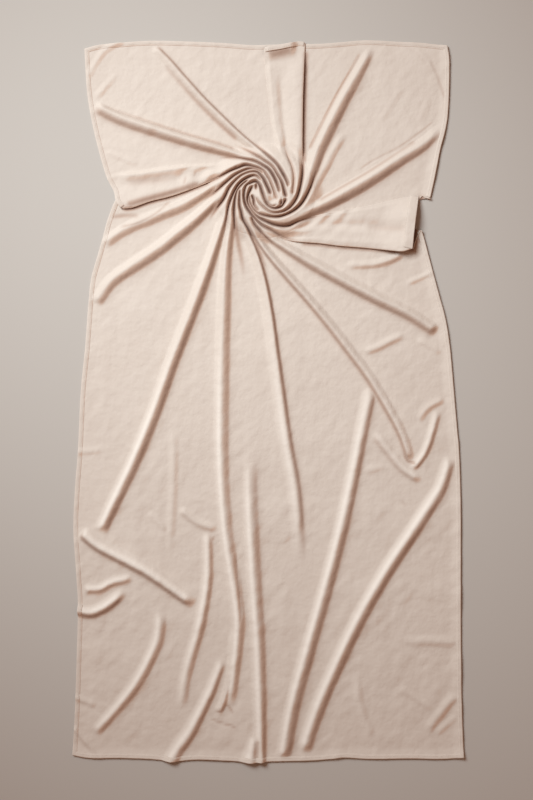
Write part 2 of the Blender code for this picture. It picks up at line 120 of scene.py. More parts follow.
class Path:
    """Smooth line through grid points, kept as a fine polyline."""

    FINE = 24  # points worked out between two controls before they are spaced evenly
    CHUNK = 6  # pieces of the polyline that are looked at together

    def __init__(self, controls: Line, step: float = 2.5) -> None:
        """Makes the line.

        Args:
            controls: Grid points that the line runs through.
            step: Spacing of the polyline, in squares.
        """
        c = np.asarray(controls, float)
        c = np.vstack([2 * c[0] - c[1], c, 2 * c[-1] - c[-2]])
        t = np.arange(self.FINE)[:, None] / self.FINE
        fine = []
        for k in range(1, len(c) - 2):
            a, b, d, e = c[k - 1], c[k], c[k + 1], c[k + 2]
            bend, twist = 2 * a - 5 * b + 4 * d - e, 3 * b - a - 3 * d + e
            fine.append(0.5 * (2 * b + (d - a) * t + bend * t**2 + twist * t**3))
        fine.append(c[-2][None])
        self.points = self._even(np.vstack(fine), step)

    @staticmethod
    def _even(points: Points, step: float) -> Points:
        """Spaces points evenly along their polyline.

        Args:
            points: Points of the polyline.
            step: Spacing in squares.

        Returns:
            The evenly spaced points.
        """
        run = np.concatenate([[0.0], np.cumsum(np.linalg.norm(np.diff(points, axis=0), axis=1))])
        at = np.linspace(0.0, run[-1], max(3, int(round(run[-1] / step)) + 1))
        return np.column_stack([np.interp(at, run, points[:, 0]), np.interp(at, run, points[:, 1])])

    @property
    def length(self) -> float:
        """Length of the line.

        Returns:
            Squares.
        """
        return float(np.linalg.norm(np.diff(self.points, axis=0), axis=1).sum())

    def at(self, s: np.ndarray) -> Points:
        """Points of the line.

        Args:
            s: Shares of its length, 0 to 1.

        Returns:
            One grid point for each share.
        """
        run = np.linspace(0.0, 1.0, len(self.points))
        return np.column_stack([np.interp(s, run, self.points[:, 0]), np.interp(s, run, self.points[:, 1])])

    def beside(self, by: float) -> "Path":
        """The line moved sideways.

        Args:
            by: Squares to the right of its direction.

        Returns:
            The moved line.
        """
        d = np.gradient(self.points, axis=0)
        d /= np.linalg.norm(d, axis=1)[:, None]
        made = Path.__new__(Path)
        made.points = self.points + np.column_stack([-d[:, 1], d[:, 0]]) * by
        return made

    def around(self, p: Points, room: float) -> np.ndarray:
        """Finds the points that lie in the box round the line.

        Args:
            p: Grid points.
            room: How far the box reaches past the line, in squares.

        Returns:
            Their indices.
        """
        low, high = self.points.min(axis=0) - room, self.points.max(axis=0) + room
        return np.nonzero(((p > low) & (p < high)).all(axis=1))[0]

    def run_out(self, s: np.ndarray, over: float, left: float) -> np.ndarray:
        """Eases off towards both ends of the line.

        Args:
            s: Shares of its length.
            over: Length in squares over which it eases off.
            left: Share of that length that is kept at the very end.

        Returns:
            0 to 1 for each share.
        """
        return smooth(np.minimum(s, 1.0 - s) * self.length / over + left)

    def nearest(self, p: Points, room: float = 1e6) -> tuple[np.ndarray, np.ndarray, np.ndarray]:
        """Finds how points lie to the line.

        Args:
            p: Grid points.
            room: Distance past which a point only counts as far away.

        Returns:
            Signed distance (positive to the right), share of the length, and the line's right-hand direction
            there.
        """
        best = np.full(len(p), 1e12)
        signed, along, way = np.full(len(p), 1e6), np.zeros(len(p)), np.zeros((len(p), 2))
        last = len(self.points) - 1
        for first in range(0, last, self.CHUNK):
            stretch = self.points[first:first + self.CHUNK + 1]
            low, high = stretch.min(axis=0) - room, stretch.max(axis=0) + room
            some = np.nonzero(((p >= low) & (p <= high)).all(axis=1))[0]
            q = p[some]
            for k in range(first, min(first + self.CHUNK, last)):
                d = self.points[k + 1] - self.points[k]
                size = float(d @ d)
                off = q - self.points[k]
                t = np.clip(off @ d / size, 0.0, 1.0)
                gap = ((off - t[:, None] * d) ** 2).sum(axis=1)
                won = gap < best[some]
                hit = some[won]
                right = np.array([-d[1], d[0]]) / math.sqrt(size)
                best[hit] = gap[won]
                signed[hit] = np.where(off[won] @ right >= 0, 1.0, -1.0) * np.sqrt(gap[won])
                along[hit] = (k + t[won]) / last
                way[hit] = right
        return signed, along, way


# --------------------------------------------------------------------------------------- edges of the cloth
EDGES: dict[str, Line] = {
    "top_left": [(84.5, 49), (100, 45), (120, 43), (150, 41), (180, 41.5), (220, 43), (250, 45.2),
                 (266, 45), (283, 44.4)],
    "pleat_top": [(264.6, 48.5), (280, 46), (290, 44), (298, 42), (304.5, 42.5)],
    "top_right": [(303, 44.2), (320, 44), (340, 42.5), (366, 40.5), (400, 42), (420, 43), (447, 46)],
    "right_upper": [(447, 46), (449, 60), (449, 80), (448.5, 100), (447, 120), (444, 135), (440, 150),
                    (434, 180), (430, 198)],
    "right_lower": [(420.5, 230.5), (423, 236), (430, 262), (438, 292), (445, 318), (449, 342), (451, 360),
                    (454, 395), (457, 430), (459, 455), (460.5, 510), (460.5, 600), (461, 680), (462, 720),
                    (463.5, 757)],
    "bottom": [(463.5, 757), (440, 758.5), (410, 758), (370, 758.5), (345, 757), (330, 758.5), (310, 760),
               (270, 761), (256, 761.5), (247, 761.5), (235, 760.5), (200, 759), (175, 760.5), (150, 758.5),
               (120, 757.5), (90, 757.5), (72.5, 754.5)],
    "left_lower": [(72.5, 754.5), (75, 710), (77, 650), (78, 605), (76, 570), (73.5, 530), (75, 490),
                   (78, 450), (81, 390), (85, 350), (88, 310), (91, 280), (97, 258), (103, 237), (107, 222),
                   (112, 208), (115.5, 200)],
    "left_upper": [(121, 208.5), (116, 201), (114, 192), (107.5, 179.5), (103, 166), (96, 140), (92, 122),
                   (89, 106), (86.5, 85), (84.5, 49)],
}
LEFT_SOFT: Line = [(107.5, 179.5), (118, 176), (140, 174.5), (155, 172), (190, 167.5), (220, 166),
                    (245, 162)]
LEFT_FOLD: Line = [(121, 208.5), (133, 207), (150, 201), (170, 196), (190, 189), (210, 181), (230, 172),
                    (240, 168.5), (252, 167.5), (268, 174), (286, 190)]
TOP_BRIGHT: Line = [(264.6, 48.5), (266, 70), (268, 90), (270, 110), (272, 125), (274, 135), (278, 148),
                     (283, 160), (287, 172), (290, 186)]
TOP_CRISP: Line = [(304.5, 42.5), (303.6, 60), (303, 75), (302.4, 90), (302, 105), (301.6, 140),
                    (301.8, 160), (301.5, 178), (298, 194)]
RIGHT_SOFT: Line = [(418.5, 196.8), (400, 199), (380, 204), (360, 208), (330, 213.5), (310, 217.5),
                     (300, 221), (290, 226), (276, 226)]
RIGHT_FOLD: Line = [(411.5, 248.8), (406, 250.5), (400, 251.5), (380, 249), (360, 247), (340, 245.5),
                     (320, 243), (300, 241.5), (290, 240), (280, 236), (268, 230)]


# --------------------------------------------------------------------------------------- folds
@dataclass(frozen=True)
class Fold:
    """A ridge of lifted cloth.

    Attributes:
        rise: Height in mm at even steps along it, a single one if it is even.
        left: Half width in squares on its left, at even steps or a single one.
        right: Half width in squares on its right, likewise.
        lean: How far its crest hangs over to the right, in mm.
        fade: Lengths in squares over which it dies out at its first and last end.
        line: Crest line on the grid.
    """

    rise: tuple[float, ...]
    left: tuple[float, ...]
    right: tuple[float, ...]
    lean: float
    fade: tuple[float, float]
    line: Line

    ROUND: ClassVar[tuple[float, float]] = (1.75, 1.3)  # powers that round the section of its steep side
    HANG_FROM: ClassVar[float] = 0.2  # share of its height from which the crest hangs over
    SLACK: ClassVar[float] = 0.26  # share of a fold's height that runs out slackly on the side it leans to
    REACH: ClassVar[float] = 2.1  # how far that slack cloth reaches, in half widths
    HANG: ClassVar[float] = 1.25  # how far the crest moves for each mm of lean, in mm
    FOOT: ClassVar[tuple[float, float]] = (0.66, 0.46)  # middle and half width of the painted shade at its foot, in half widths
    FOOT_DARK: ClassVar[tuple[float, float]] = (0.46, 0.19)  # strongest painted shade at its foot, and painted shade for each mm of lean
    CREST: ClassVar[tuple[float, float]] = (-0.30, 0.29)  # middle and half width of the painted highlight on its crest
    CREST_HIGHLIGHT: ClassVar[float] = 0.72  # strength of the painted highlight on the crests of its lower half
    LOWER: ClassVar[tuple[float, float]] = (300.0, 160.0)  # y at which that half starts, and over how much
    HIGHLIGHT_RISE: ClassVar[float] = 10.0  # mm of height from which a fold's painted highlight is at full strength
    LEANING: ClassVar[float] = 0.9  # mm of lean from which a fold gets a painted highlight on its crest

    def lift(self, p: Points, height: Heights, shift: Points, dark: np.ndarray, painted_highlight: np.ndarray) -> None:
        """Adds the fold to the cloth, with painted shade at its steep foot and a painted highlight on its
        crest.

        Args:
            p: Grid points.
            height: Cubed heights so far, added to in place.
            shift: Sideways moves so far in squares, added to in place.
            dark: Painted shade, 0 to 1, raised in place at the fold's steep foot.
            painted_highlight: Painted highlight on the fold's lit crest, 0 to 1, raised in place.
        """
        path = Path(self.line)
        room = max(*self.left, *self.right) * self.REACH + 1.0
        near = path.around(p, room)
        if not len(near):
            return
        gap, s, way = path.nearest(p[near], room)
        half = np.where(gap > 0, along_table(self.right, s), along_table(self.left, s))
        crisp = (gap * self.lean > 0) & (np.abs(gap) < room)
        share = np.abs(gap) / half
        steep = np.clip(1.0 - share ** self.ROUND[0], 0.0, None) ** self.ROUND[1]
        slack = np.clip(1.0 - (share / self.REACH) ** 2, 0.0, None) ** 3
        ridge = np.where(crisp, (1.0 - self.SLACK) * steep + self.SLACK * slack, slope(1.0 - share))
        rise = along_table(self.rise, s)
        ends = smooth(s * path.length / max(self.fade[0], 1e-3) + (self.fade[0] <= 0))
        ends = ends * smooth((1.0 - s) * path.length / max(self.fade[1], 1e-3) + (self.fade[1] <= 0))
        ends = ends * Twist.outside(p[near])
        ridge = ridge * ends
        height[near] += (ridge * rise) ** 3
        over = np.clip(ridge - self.HANG_FROM, 0.0, None) * self.lean * self.HANG * MM / GRID
        shift[near] += way * over[:, None]
        # painted shade at the foot on the side the fold leans to
        foot = bell(share, *self.FOOT) * ends * crisp
        dark[near] = np.maximum(dark[near], foot * min(self.FOOT_DARK[0], self.FOOT_DARK[1] * abs(self.lean)))
        # painted highlight on the lit side of the crest, for leaning folds in the lower half
        if abs(self.lean) > self.LEANING:
            lower = smooth((p[near][:, 1] - self.LOWER[0]) / self.LOWER[1])
            crest_highlight = ends * lower * smooth(rise / self.HIGHLIGHT_RISE) * self.CREST_HIGHLIGHT
            painted_highlight[near] = np.maximum(painted_highlight[near], crest_highlight * bell(np.where(crisp, share, -share), *self.CREST))


# rise mm, left half, right half, lean mm, fade at each end, crest line
FOLDS = [
    # from the twist to the left and down
    Fold((12, 9, 7, 5), (4, 6, 6, 5), (4, 4.5, 4.5, 4.5), 2.0, (0, 8),
         [(266, 160), (255, 149.5), (240, 137), (220, 118), (200, 98), (182, 78), (168, 62), (153, 47)]),
    Fold((12, 12, 11, 9), (4, 8.5, 9, 9), (4.0, 4.5, 4.5, 4.5), -2.2, (0, 10),
         [(258, 160), (241, 154.6), (221, 148.7), (201, 142.7), (181, 136.7), (151, 127.2), (121, 116.7),
          (95, 103.5)]),
    Fold((11, 10, 8, 5), (4, 8, 8.5, 7), (4, 5.5, 5.5, 5), -1.3, (0, 12),
         [(228, 179), (215, 184.5), (200, 194), (180, 205), (165, 211), (150, 217), (135, 223), (120, 231),
          (101, 245)]),
    Fold((12, 12, 10, 6), (4, 9, 9.5, 7.5), (4, 6.5, 6.5, 6.5), -1.8, (0, 8),
         [(232, 187), (215, 200), (195, 218), (175, 234), (160, 246), (145, 256), (130, 266), (110, 281),
          (94, 304)]),
    Fold((13, 13, 12, 11, 10), (4.5, 8.5, 9, 9, 8), (4.5, 6.5, 6.5, 6.5, 6.5), -2.0, (0, 10),
         [(229, 200), (222, 222), (213, 249), (202, 280), (191, 309), (171, 360), (151, 416), (131, 464),
          (112, 504), (99, 532)]),
    Fold((12, 11, 9, 8, 9, 8), (4.5, 8.5, 9, 8, 7.5, 6), (4, 7, 7, 7, 7.5, 6), -1.0, (0, 26),
         [(235, 200), (229, 230), (224.5, 268), (222, 330), (220.5, 400), (221, 470), (226, 535), (235, 592),
          (238, 622), (235, 660), (229, 708)]),
    # down to the bottom hem
    Fold((3, 8, 9, 10, 12), (9, 9, 8.5, 7.5, 5), (6, 7, 7.5, 8, 8), -1.3, (30, 0),
         [(249, 452), (249, 500), (253, 575), (257, 632), (259, 680), (260, 715), (261, 764)]),
    # from the twist down and to the right
    Fold((12, 11, 8, 6, 4), (4, 4.5, 6, 7, 7), (4, 8, 8.5, 8, 8), -2.5, (0, 60),
         [(241, 205), (243, 226), (254.5, 253), (263, 281), (269.5, 315), (274, 350), (280, 395), (286, 440),
          (295, 495), (300, 570)]),
    Fold((13, 11, 9, 9, 8), (4, 5.5, 5.5, 5.5, 5), (3.5, 5.5, 6, 6, 5), 2.2, (0, 8),
         [(247, 214), (255, 232), (268, 252), (290, 277.5), (310, 300), (330, 324), (350, 350), (370, 377),
          (390, 410.5), (402, 434), (411, 460)]),
    Fold((12, 13, 13, 10), (3.5, 7, 7.5, 6), (3.5, 8, 8.5, 8), 2.2, (0, 8),
         [(256, 222), (266, 234), (285, 246.5), (315, 264), (350, 283), (380, 298.5), (410, 313),
          (438, 331)]),
    # from the twist up and to the right
    Fold((13, 14, 13, 10, 5), (3.5, 7, 8, 7.5, 5), (3.5, 9.5, 10.5, 9.5, 7), 2.3, (0, 16),
         [(262, 219), (278, 222), (292, 218.5), (307, 211), (337, 195.5), (370, 176.5), (400, 157),
          (420, 145), (441, 126)]),
    Fold((12, 12, 12, 9, 4), (4, 6.5, 7, 6, 4), (3.5, 9.5, 10, 9, 6), 2.0, (0, 16),
         [(294, 210), (302, 196), (306, 184), (314.5, 154), (326, 129), (340, 101.5), (354, 77), (366, 56),
          (372, 46)]),
    Fold((6, 4, 2.5), (5, 6, 6), (5, 6, 6), 0.5, (10, 20),
         [(309, 200), (318, 179), (326, 164), (334, 148), (346, 128)]),
    # ridges where the pleats leave the twist
    Fold((9, 7, 5), (2.8, 5, 7), (2.8, 4, 7), 0.0, (0, 26),
         [(262, 172), (250, 165.3), (240, 165.5), (228, 170), (212, 175), (196, 180)]),
    Fold((12, 8, 4), (4, 5, 6), (3.5, 5, 7), 0.0, (0, 26),
         [(287, 200), (290, 190), (287, 170), (281, 152), (277, 130)]),
    Fold((12, 8, 4), (3.5, 5, 7), (3.5, 5, 6), 0.0, (0, 26),
         [(290, 206), (297, 196), (299, 180), (297.5, 160), (295, 138)]),
    Fold((12, 9, 5), (4, 6, 9), (4, 6, 9), 0.0, (0, 26),
         [(254, 216), (262, 223), (272, 228.5), (284, 232.5), (302, 231), (322, 229)]),
    # loose folds at the lower left
    Fold((6, 10, 12), (5, 7, 9), (5, 9, 13), -1.5, (5, 0), [(254, 736), (252, 750), (250, 764)]),
    Fold((13, 15, 15, 12), (7.5, 8, 7.5), (6.5, 7, 6.5), 1.8, (5, 12),
         [(82, 531), (96, 543.5), (111, 552), (127, 560), (145, 569.5), (162, 580.5), (178, 592),
          (195, 604)]),
    Fold((7, 7, 5), (5,), (5,), 1.0, (5, 8), [(84, 589), (100, 588), (112, 582), (133, 577)]),
    Fold((12, 11, 7), (5, 5.5, 6), (7, 7, 6), 2.2, (0, 14),
         [(74, 608), (90, 611), (100, 608), (110, 602), (126, 589)]),
    Fold((6, 8, 8, 6), (7, 7, 6), (7, 7, 6), -1.0, (14, 10),
         [(160, 610), (158, 636), (151, 655), (139, 678), (124, 699), (94, 733)]),
    Fold((5, 7, 8, 6, 4), (5, 6, 7), (6, 7.5, 6), -1.0, (12, 20),
         [(207, 530), (208, 565), (206, 592), (199, 628), (191, 655), (184, 682), (181, 712)]),
    Fold((6, 9, 10), (5, 6.5, 8), (6, 8, 9), -1.5, (12, 0),
         [(223, 658), (211, 689), (200, 712), (190, 731), (178, 748), (168, 764)]),
    Fold((5, 6, 7), (4, 4, 5), (4, 4, 5), 0.0, (20, 8), [(233, 625), (231, 665), (225, 697), (217, 714)]),
    Fold((5, 5, 4), (5,), (5,), 0.5, (6, 8), [(180, 508), (192, 518), (202, 524), (218, 529)]),
    Fold((2.4, 2.8, 2.2), (6,), (6,), 0.0, (20, 24), [(173.5, 425), (173.5, 470), (172, 510), (169, 556)]),
    Fold((3,), (5,), (5,), 0.0, (6, 8), [(148, 512), (158, 521), (168, 533)]),
    # long slanting folds at the lower right
    Fold((6, 8, 10, 11, 11), (7, 8, 9.5, 10, 10), (8, 7.5, 6.5, 6.5, 6.5), -2.0, (14, 8),
         [(371, 386), (363, 422), (351, 480), (337.5, 538), (321, 598), (306, 650), (291, 705), (281, 758)]),
    Fold((7, 11, 11, 11, 9), (7, 9, 9.5, 9.5, 9), (7, 7.5, 7, 7, 7), -1.7, (12, 14),
         [(450, 455), (440, 486), (427, 507), (405, 540), (382, 575), (360, 613), (340, 654), (320, 699),
          (306, 738), (302, 755)]),
    # where two of the right-hand folds fork
    Fold((4, 6, 7), (5, 5, 4), (5,), -1.0, (12, 8),
         [(438, 408), (431, 433), (427, 445), (422, 456), (411, 470)]),
    Fold((4, 6, 6), (6, 6, 5), (6, 6, 5), 1.0, (10, 10),
         [(374, 432), (387, 449), (395, 459), (404, 469), (422, 481)]),
    Fold((4, 4, 3), (5,), (4,), 0.5, (6, 8), [(445, 398.5), (432, 405), (424, 412), (417, 423)]),
    Fold((1.6,), (6,), (5,), 0.0, (8, 8), [(362, 472), (374, 469), (388, 465)]),
    # short creases and swells
    Fold((3, 4, 3), (5,), (5,), 0.5, (8, 12), [(362, 352), (377, 347), (387, 342), (406, 333)]),
    Fold((2, 3, 3.5), (6,), (6,), 0.3, (14, 0), [(400, 638), (415, 641), (426, 640.5), (450, 641.5)]),
    Fold((4, 4, 3), (6,), (6,), -0.3, (6, 12), [(455, 693), (446, 705), (439, 714), (424, 733)]),
    Fold((3, 5, 5), (5,), (5,), 0.5, (12, 8),
         [(344, 265), (360, 264.5), (375, 263.5), (390, 259.5), (404, 252)]),
    Fold((2.5,), (5,), (5,), 0.0, (8, 8), [(416, 339), (428, 345), (443, 354)]),
    Fold((2.2,), (5,), (5,), 0.2, (10, 10), [(399, 687), (412, 695), (421, 701), (435, 710)]),
    Fold((2.2,), (5,), (5,), 0.0, (6, 8), [(457, 715), (447, 724), (434, 735)]),
    Fold((2.6, 2.6, 2), (6,), (6,), 0.0, (14, 16), [(357, 674), (359, 700), (364, 716), (374, 744)]),
    Fold((2.5,), (4,), (4,), 0.0, (8, 8), [(405, 284), (420, 278), (434, 271)]),
    Fold((3, 2.5), (4,), (4,), 0.5, (0, 8), [(76, 697), (92, 703), (98, 706)]),
    Fold((3.5,), (4,), (4,), 0.5, (0, 8), [(76, 729), (88, 743), (97, 752)]),
    Fold((2.0, 1.8), (5,), (5,), 0.0, (0, 10), [(78, 452), (92, 451), (106, 449)]),
    # near the corners of the upper panels
    Fold((2.2, 2.0), (5,), (5,), 0.0, (4, 8), [(124, 40), (106, 50), (95, 64), (87, 80)]),
    Fold((1.6,), (5,), (5,), 0.0, (10, 10), [(118, 72), (106, 86), (94, 101)]),
    Fold((1.3, 1.2), (6,), (4,), 0.3, (12, 12), [(404, 42), (422, 56), (436, 76)]),
    Fold((1.3, 1.2), (6,), (4,), 0.3, (12, 12), [(404, 84), (391, 104), (378, 124)]),
    Fold((1.3, 1.2), (6,), (4,), 0.3, (12, 12), [(430, 92), (424, 110), (417, 126)]),
    Fold((1.8,), (5,), (5,), 0.0, (8, 8), [(104, 151), (122, 158), (140, 166)]),
]


@dataclass(frozen=True)
class Pinch:
    """A thin crease with painted shade in it, or a spot of painted shade beside or under another layer.

    Attributes:
        depth: How far it is pressed in, in mm, 0 for a spot that is only painted shade.
        half: Half width in squares.
        dark: How dark its painted shade is at even steps along it, 0 to 1, a single one if it is even.
        line: Its line on the grid.
    """

    depth: float
    half: float
    dark: tuple[float, ...]
    line: Line

    ENDS: ClassVar[tuple[float, float]] = (6.0, 0.15)  # squares over which it runs out, and what is left

    def press(self, p: Points, z: Heights, dark: np.ndarray) -> None:
        """Presses the crease into the cloth and paints its shade.

        Args:
            p: Grid points.
            z: Heights in mm, lowered in place.
            dark: Painted shade, 0 to 1, raised in place.
        """
        path = Path(self.line)
        room = 3.0 * self.half
        near = path.around(p, room)
        if not len(near):
            return
        gap, s, _ = path.nearest(p[near], room)
        share = bell(gap, 0.0, self.half) * path.run_out(s, *self.ENDS)
        z[near] -= share * self.depth
        dark[near] = np.maximum(dark[near], share * along_table(self.dark, s))


# depth mm, half width, painted shade along it, line on the grid
PINCHES = [
    Pinch(1.6, 1.3, (0.35, 0.3, 0.15),
          [(236, 149.5), (222, 144.7), (202, 138.7), (182, 132.7), (152, 123.2), (122, 112.7), (104, 106)]),
    Pinch(0.8, 2.2, (0.45, 0.4, 0.3, 0.15),
          [(238, 141), (216.5, 121.5), (196.5, 101.5), (178.5, 81.5), (164.5, 65.5)]),
    Pinch(0.0, 1.9, (0.4, 0.5, 0.5, 0.5),
          [(398, 253.6), (380, 251), (360, 249), (340, 247.6), (320, 245.2), (300, 243.6)]),
    Pinch(1.5, 1.4, (0.3, 0.3, 0.2), [(318, 201), (335, 191), (368, 172), (398, 152.5), (417, 141)]),
    Pinch(0.7, 1.3, (0.1, 0.15, 0.1), [(360, 170), (375, 160), (400, 147), (420, 133), (435, 121)]),
    Pinch(1.5, 1.3, (0.35, 0.35, 0.2), [(309, 151), (321, 126), (335, 98.5), (349, 74), (361, 53)]),
    Pinch(1.5, 1.4, (0.3, 0.4, 0.2), [(236, 552), (237, 575), (239.5, 598), (241, 622)]),
    Pinch(1.0, 1.4, (0.5,), [(403, 452), (408, 461), (417, 463)]),
    Pinch(0.8, 1.3, (0.35,), [(214, 710), (222, 711), (227, 705), (234, 714)]),
    Pinch(0.8, 1.2, (0.3,), [(210, 718), (220, 722), (230, 725), (238, 729)]),
    Pinch(0.6, 1.5, (0.15,), [(400, 500), (408, 507)]),
    Pinch(0.5, 1.4, (0.12,), [(443, 661), (450, 664)]),
    Pinch(0.6, 1.6, (0.12, 0.2), [(430, 60), (438, 78), (445, 100)]),
    Pinch(1.0, 1.6, (0.5, 0.4), [(215, 535), (211, 543)]),
    Pinch(0.8, 2.4, (0.3, 0.38, 0.3, 0.15), [(110, 217.5), (122, 216), (133, 215.5), (141, 217)]),
    Pinch(1.0, 1.3, (0.25, 0.25, 0.2),
          [(120, 227), (130, 225), (140, 222), (150, 217), (158, 212), (165, 206), (172, 201)]),
    Pinch(0.4, 1.2, (0.3,), [(114, 206), (109.5, 221), (105.5, 236)]),
    Pinch(0.0, 4.6, (0.12, 0.22, 0.22, 0.12), [(126, 183), (142, 181), (160, 179), (178, 176)]),
    Pinch(0.0, 3.2, (0.45, 0.55, 0.55, 0.5, 0.4),
          [(126, 205.3), (140, 201.5), (160, 196), (180, 190.3), (200, 183.3)]),
    Pinch(0.0, 1.8, (0.9, 0.9, 0.8, 0.7, 0.6, 0.5),
          [(122, 209.6), (134, 208.3), (151, 202.4), (171, 197.4), (191, 190.5), (211, 182.4)]),
    Pinch(0.0, 1.6, (0.75, 0.85, 0.6), [(121, 209), (128, 208.6), (136, 206.6)]),
    Pinch(0.6, 1.6, (0.2,), [(197.5, 170), (195.5, 174), (193, 179)]),
    Pinch(0.6, 1.6, (0.2,), [(186.5, 175), (185, 181), (184, 188)]),
    Pinch(0.8, 1.5, (0.7, 0.8, 0.8, 0.6), [(186, 191), (203, 184.6), (222, 176), (240, 166.5)]),
    Pinch(0.8, 3.0, (0.6, 0.5, 0.3, 0.1), [(278, 228), (296, 222.5), (316, 213.5), (338, 204.5), (352, 200)]),
    Pinch(0.0, 2.6, (0.5, 0.7, 0.65, 0.5),
          [(305.8, 50), (305.2, 75), (304.3, 100), (303.7, 130), (303.7, 165)]),
    Pinch(0.0, 4.5, (0.40, 0.55, 0.45), [(268, 56), (280, 53.5), (293, 50.5)]),
    Pinch(0.0, 3.6, (0.95,), [(415.8, 225), (414.8, 232), (414.2, 239), (412.4, 247), (411, 253)]),
    Pinch(0.0, 2.6, (0.6, 0.85, 0.7), [(417.5, 201), (420.5, 198.8), (423, 198.2), (426, 198.6)]),
    Pinch(0.3, 3.6, (0.10, 0.16, 0.14), [(366, 227), (380, 228), (392, 229), (406, 229.5)]),
    Pinch(0.0, 2.6, (0.3, 0.6, 0.5, 0.3, 0.0),
          [(235.2, 214), (236.0, 228), (238.5, 244), (242, 262), (244, 280)]),
    Pinch(0.0, 2.2, (0.3, 0.6, 0.5, 0.2), [(243, 217), (248.5, 230), (255, 241), (260, 253), (266, 270)]),
    Pinch(0.0, 2.0, (0.85, 0.6, 0.3), [(420.6, 232.3), (420.0, 237), (418.4, 245)]),
]

# --------------------------------------------------------------------------------------- the twist
TWIST_AT = (265.0, 194.0)
TWIST_R = (40.0, 35.0)


@dataclass(frozen=True)
class Crease:
    """Valley between two rolls of the twist.

    Attributes:
        depth: Depth, and strength of its painted shade, at even steps along it, 1 for the deepest.
        line: Its line on the grid.
    """

    depth: tuple[float, ...]
    line: Line


CREASES = [
    Crease((0.3, 0.6, 0.8, 0.8, 1.0, 0.6),
           [(246, 136), (258, 147), (267, 155.5), (277, 165.5), (283.5, 176), (287.7, 185), (287.6, 189)]),
    Crease((0.3, 0.6, 0.7, 0.7, 0.7, 0.9, 1.0),
           [(232, 143.5), (246, 150), (256, 156), (264, 161.5), (272.5, 168), (277.5, 176), (282, 184),
            (284.5, 193), (286.4, 199.5)]),
    Crease((0.3, 0.8, 0.8, 0.7, 0.8, 1.0, 1.0, 0.5),
           [(208, 154), (222, 157), (236, 158), (245, 160), (256, 163), (264, 167.5), (270, 172),
            (275, 180), (278.5, 189), (280, 195)]),
    Crease((0.8, 0.9, 1.0, 1.0, 0.8, 0.6, 0.6, 0.4),
           [(206, 183), (220, 177), (230, 172), (238, 169), (246, 166.5), (255, 168.5), (263, 172),
            (269, 180), (272.5, 188), (277.3, 202)]),
    Crease((0.6, 0.9, 0.9, 0.8, 0.6),
           [(196, 205), (205, 199), (216, 192), (225, 184.5), (235, 176.5), (245, 171.5), (253, 169.8),
            (260, 172), (264, 176)]),
    Crease((0.8, 1.0, 1.0, 0.8, 0.7, 1.0, 1.0),
           [(207, 222), (216, 210), (224, 200), (230, 188.5), (240, 178), (250, 173.5), (258, 174),
            (264, 181), (268, 189), (271.3, 196.5)]),
    Crease((0.9, 1.0, 1.0, 0.9, 1.0, 1.0, 0.4),
           [(218, 252), (221, 238), (225, 223), (228.5, 208), (234, 194), (240, 184.5), (249, 178.5),
            (256, 177.3), (263, 182.5)]),
    Crease((0.0, 0.35, 0.7, 0.9, 1.0, 0.9, 0.8),
           [(242, 268), (240, 257), (238, 246), (235.5, 234), (234.3, 212), (236.5, 194), (242, 186),
            (249, 180.5)]),
    Crease((0.8, 0.8, 0.7, 0.8, 1.0, 1.0, 0.8, 1.0, 0.8, 1.0, 1.0),
           [(300, 241.5), (284, 238), (272, 231.5), (262, 226), (253, 217), (246.5, 207), (244.2, 197),
            (246, 187.8), (250, 184.6), (256, 183), (260, 187), (262.3, 193), (265, 200.5), (268.5, 206.5),
            (274.5, 209.4), (281, 207.8), (284.3, 203.5), (286.4, 199.5)]),
    Crease((0.7, 0.9, 1.0, 1.0, 0.8),
           [(240, 190), (239.8, 205), (241.5, 213), (243.5, 221), (249, 231), (256, 244)]),
    Crease((0.8, 1.0, 0.7, 0.9, 1.0, 1.0, 0.8, 0.5),
           [(253.5, 186.5), (250.3, 191), (248, 197.5), (247.8, 203), (251, 210), (257, 217.5), (265, 222),
            (276, 226), (288, 226.5), (300, 221), (318, 215.5)]),
    Crease((0.8, 0.7, 1.0, 1.0, 1.0, 0.9, 0.7),
           [(249, 195.5), (250.5, 204), (255.5, 212), (262, 216), (275, 218), (285, 216), (296, 210),
            (304, 201), (311, 186), (317, 166), (325, 148)]),
    Crease((1.0, 1.0, 0.7, 0.5), [(251.5, 195.5), (253.7, 200.5), (254.5, 206.5), (259.5, 213.5)]),
    Crease((0.5, 0.6, 0.8, 1.0, 1.0, 0.9, 0.9),
           [(255, 198), (259, 203.5), (264, 208.5), (271, 213.3), (277, 214), (285, 212), (292, 206.5),
            (298, 196), (302, 178), (302.8, 160), (302.8, 140)]),
    Crease((0.3, 0.4, 0.4, 0.5), [(283, 140), (287, 155), (292, 168), (294, 180), (292.5, 197)]),
    Crease((0.7, 0.9, 0.9, 0.7, 0.5),
           [(251.5, 217.5), (255.5, 226), (261, 232), (268, 238.5), (282, 251), (296, 262)]),
    Crease((0.5,), [(266.5, 201.5), (269, 205.5), (273, 207.4), (277.5, 206)]),
    Crease((0.8, 0.9), [(281.6, 200.5), (281.4, 204), (280, 207.5)]),
    Crease((0.9, 0.7), [(257, 184), (256.4, 187.5), (256, 192)]),
]
# middle, half size, depth in mm
PITS = [((252.5, 193.5), (4.5, 8.0), 8.0), ((272.0, 202.5), (5.0, 4.5), 5.0)]


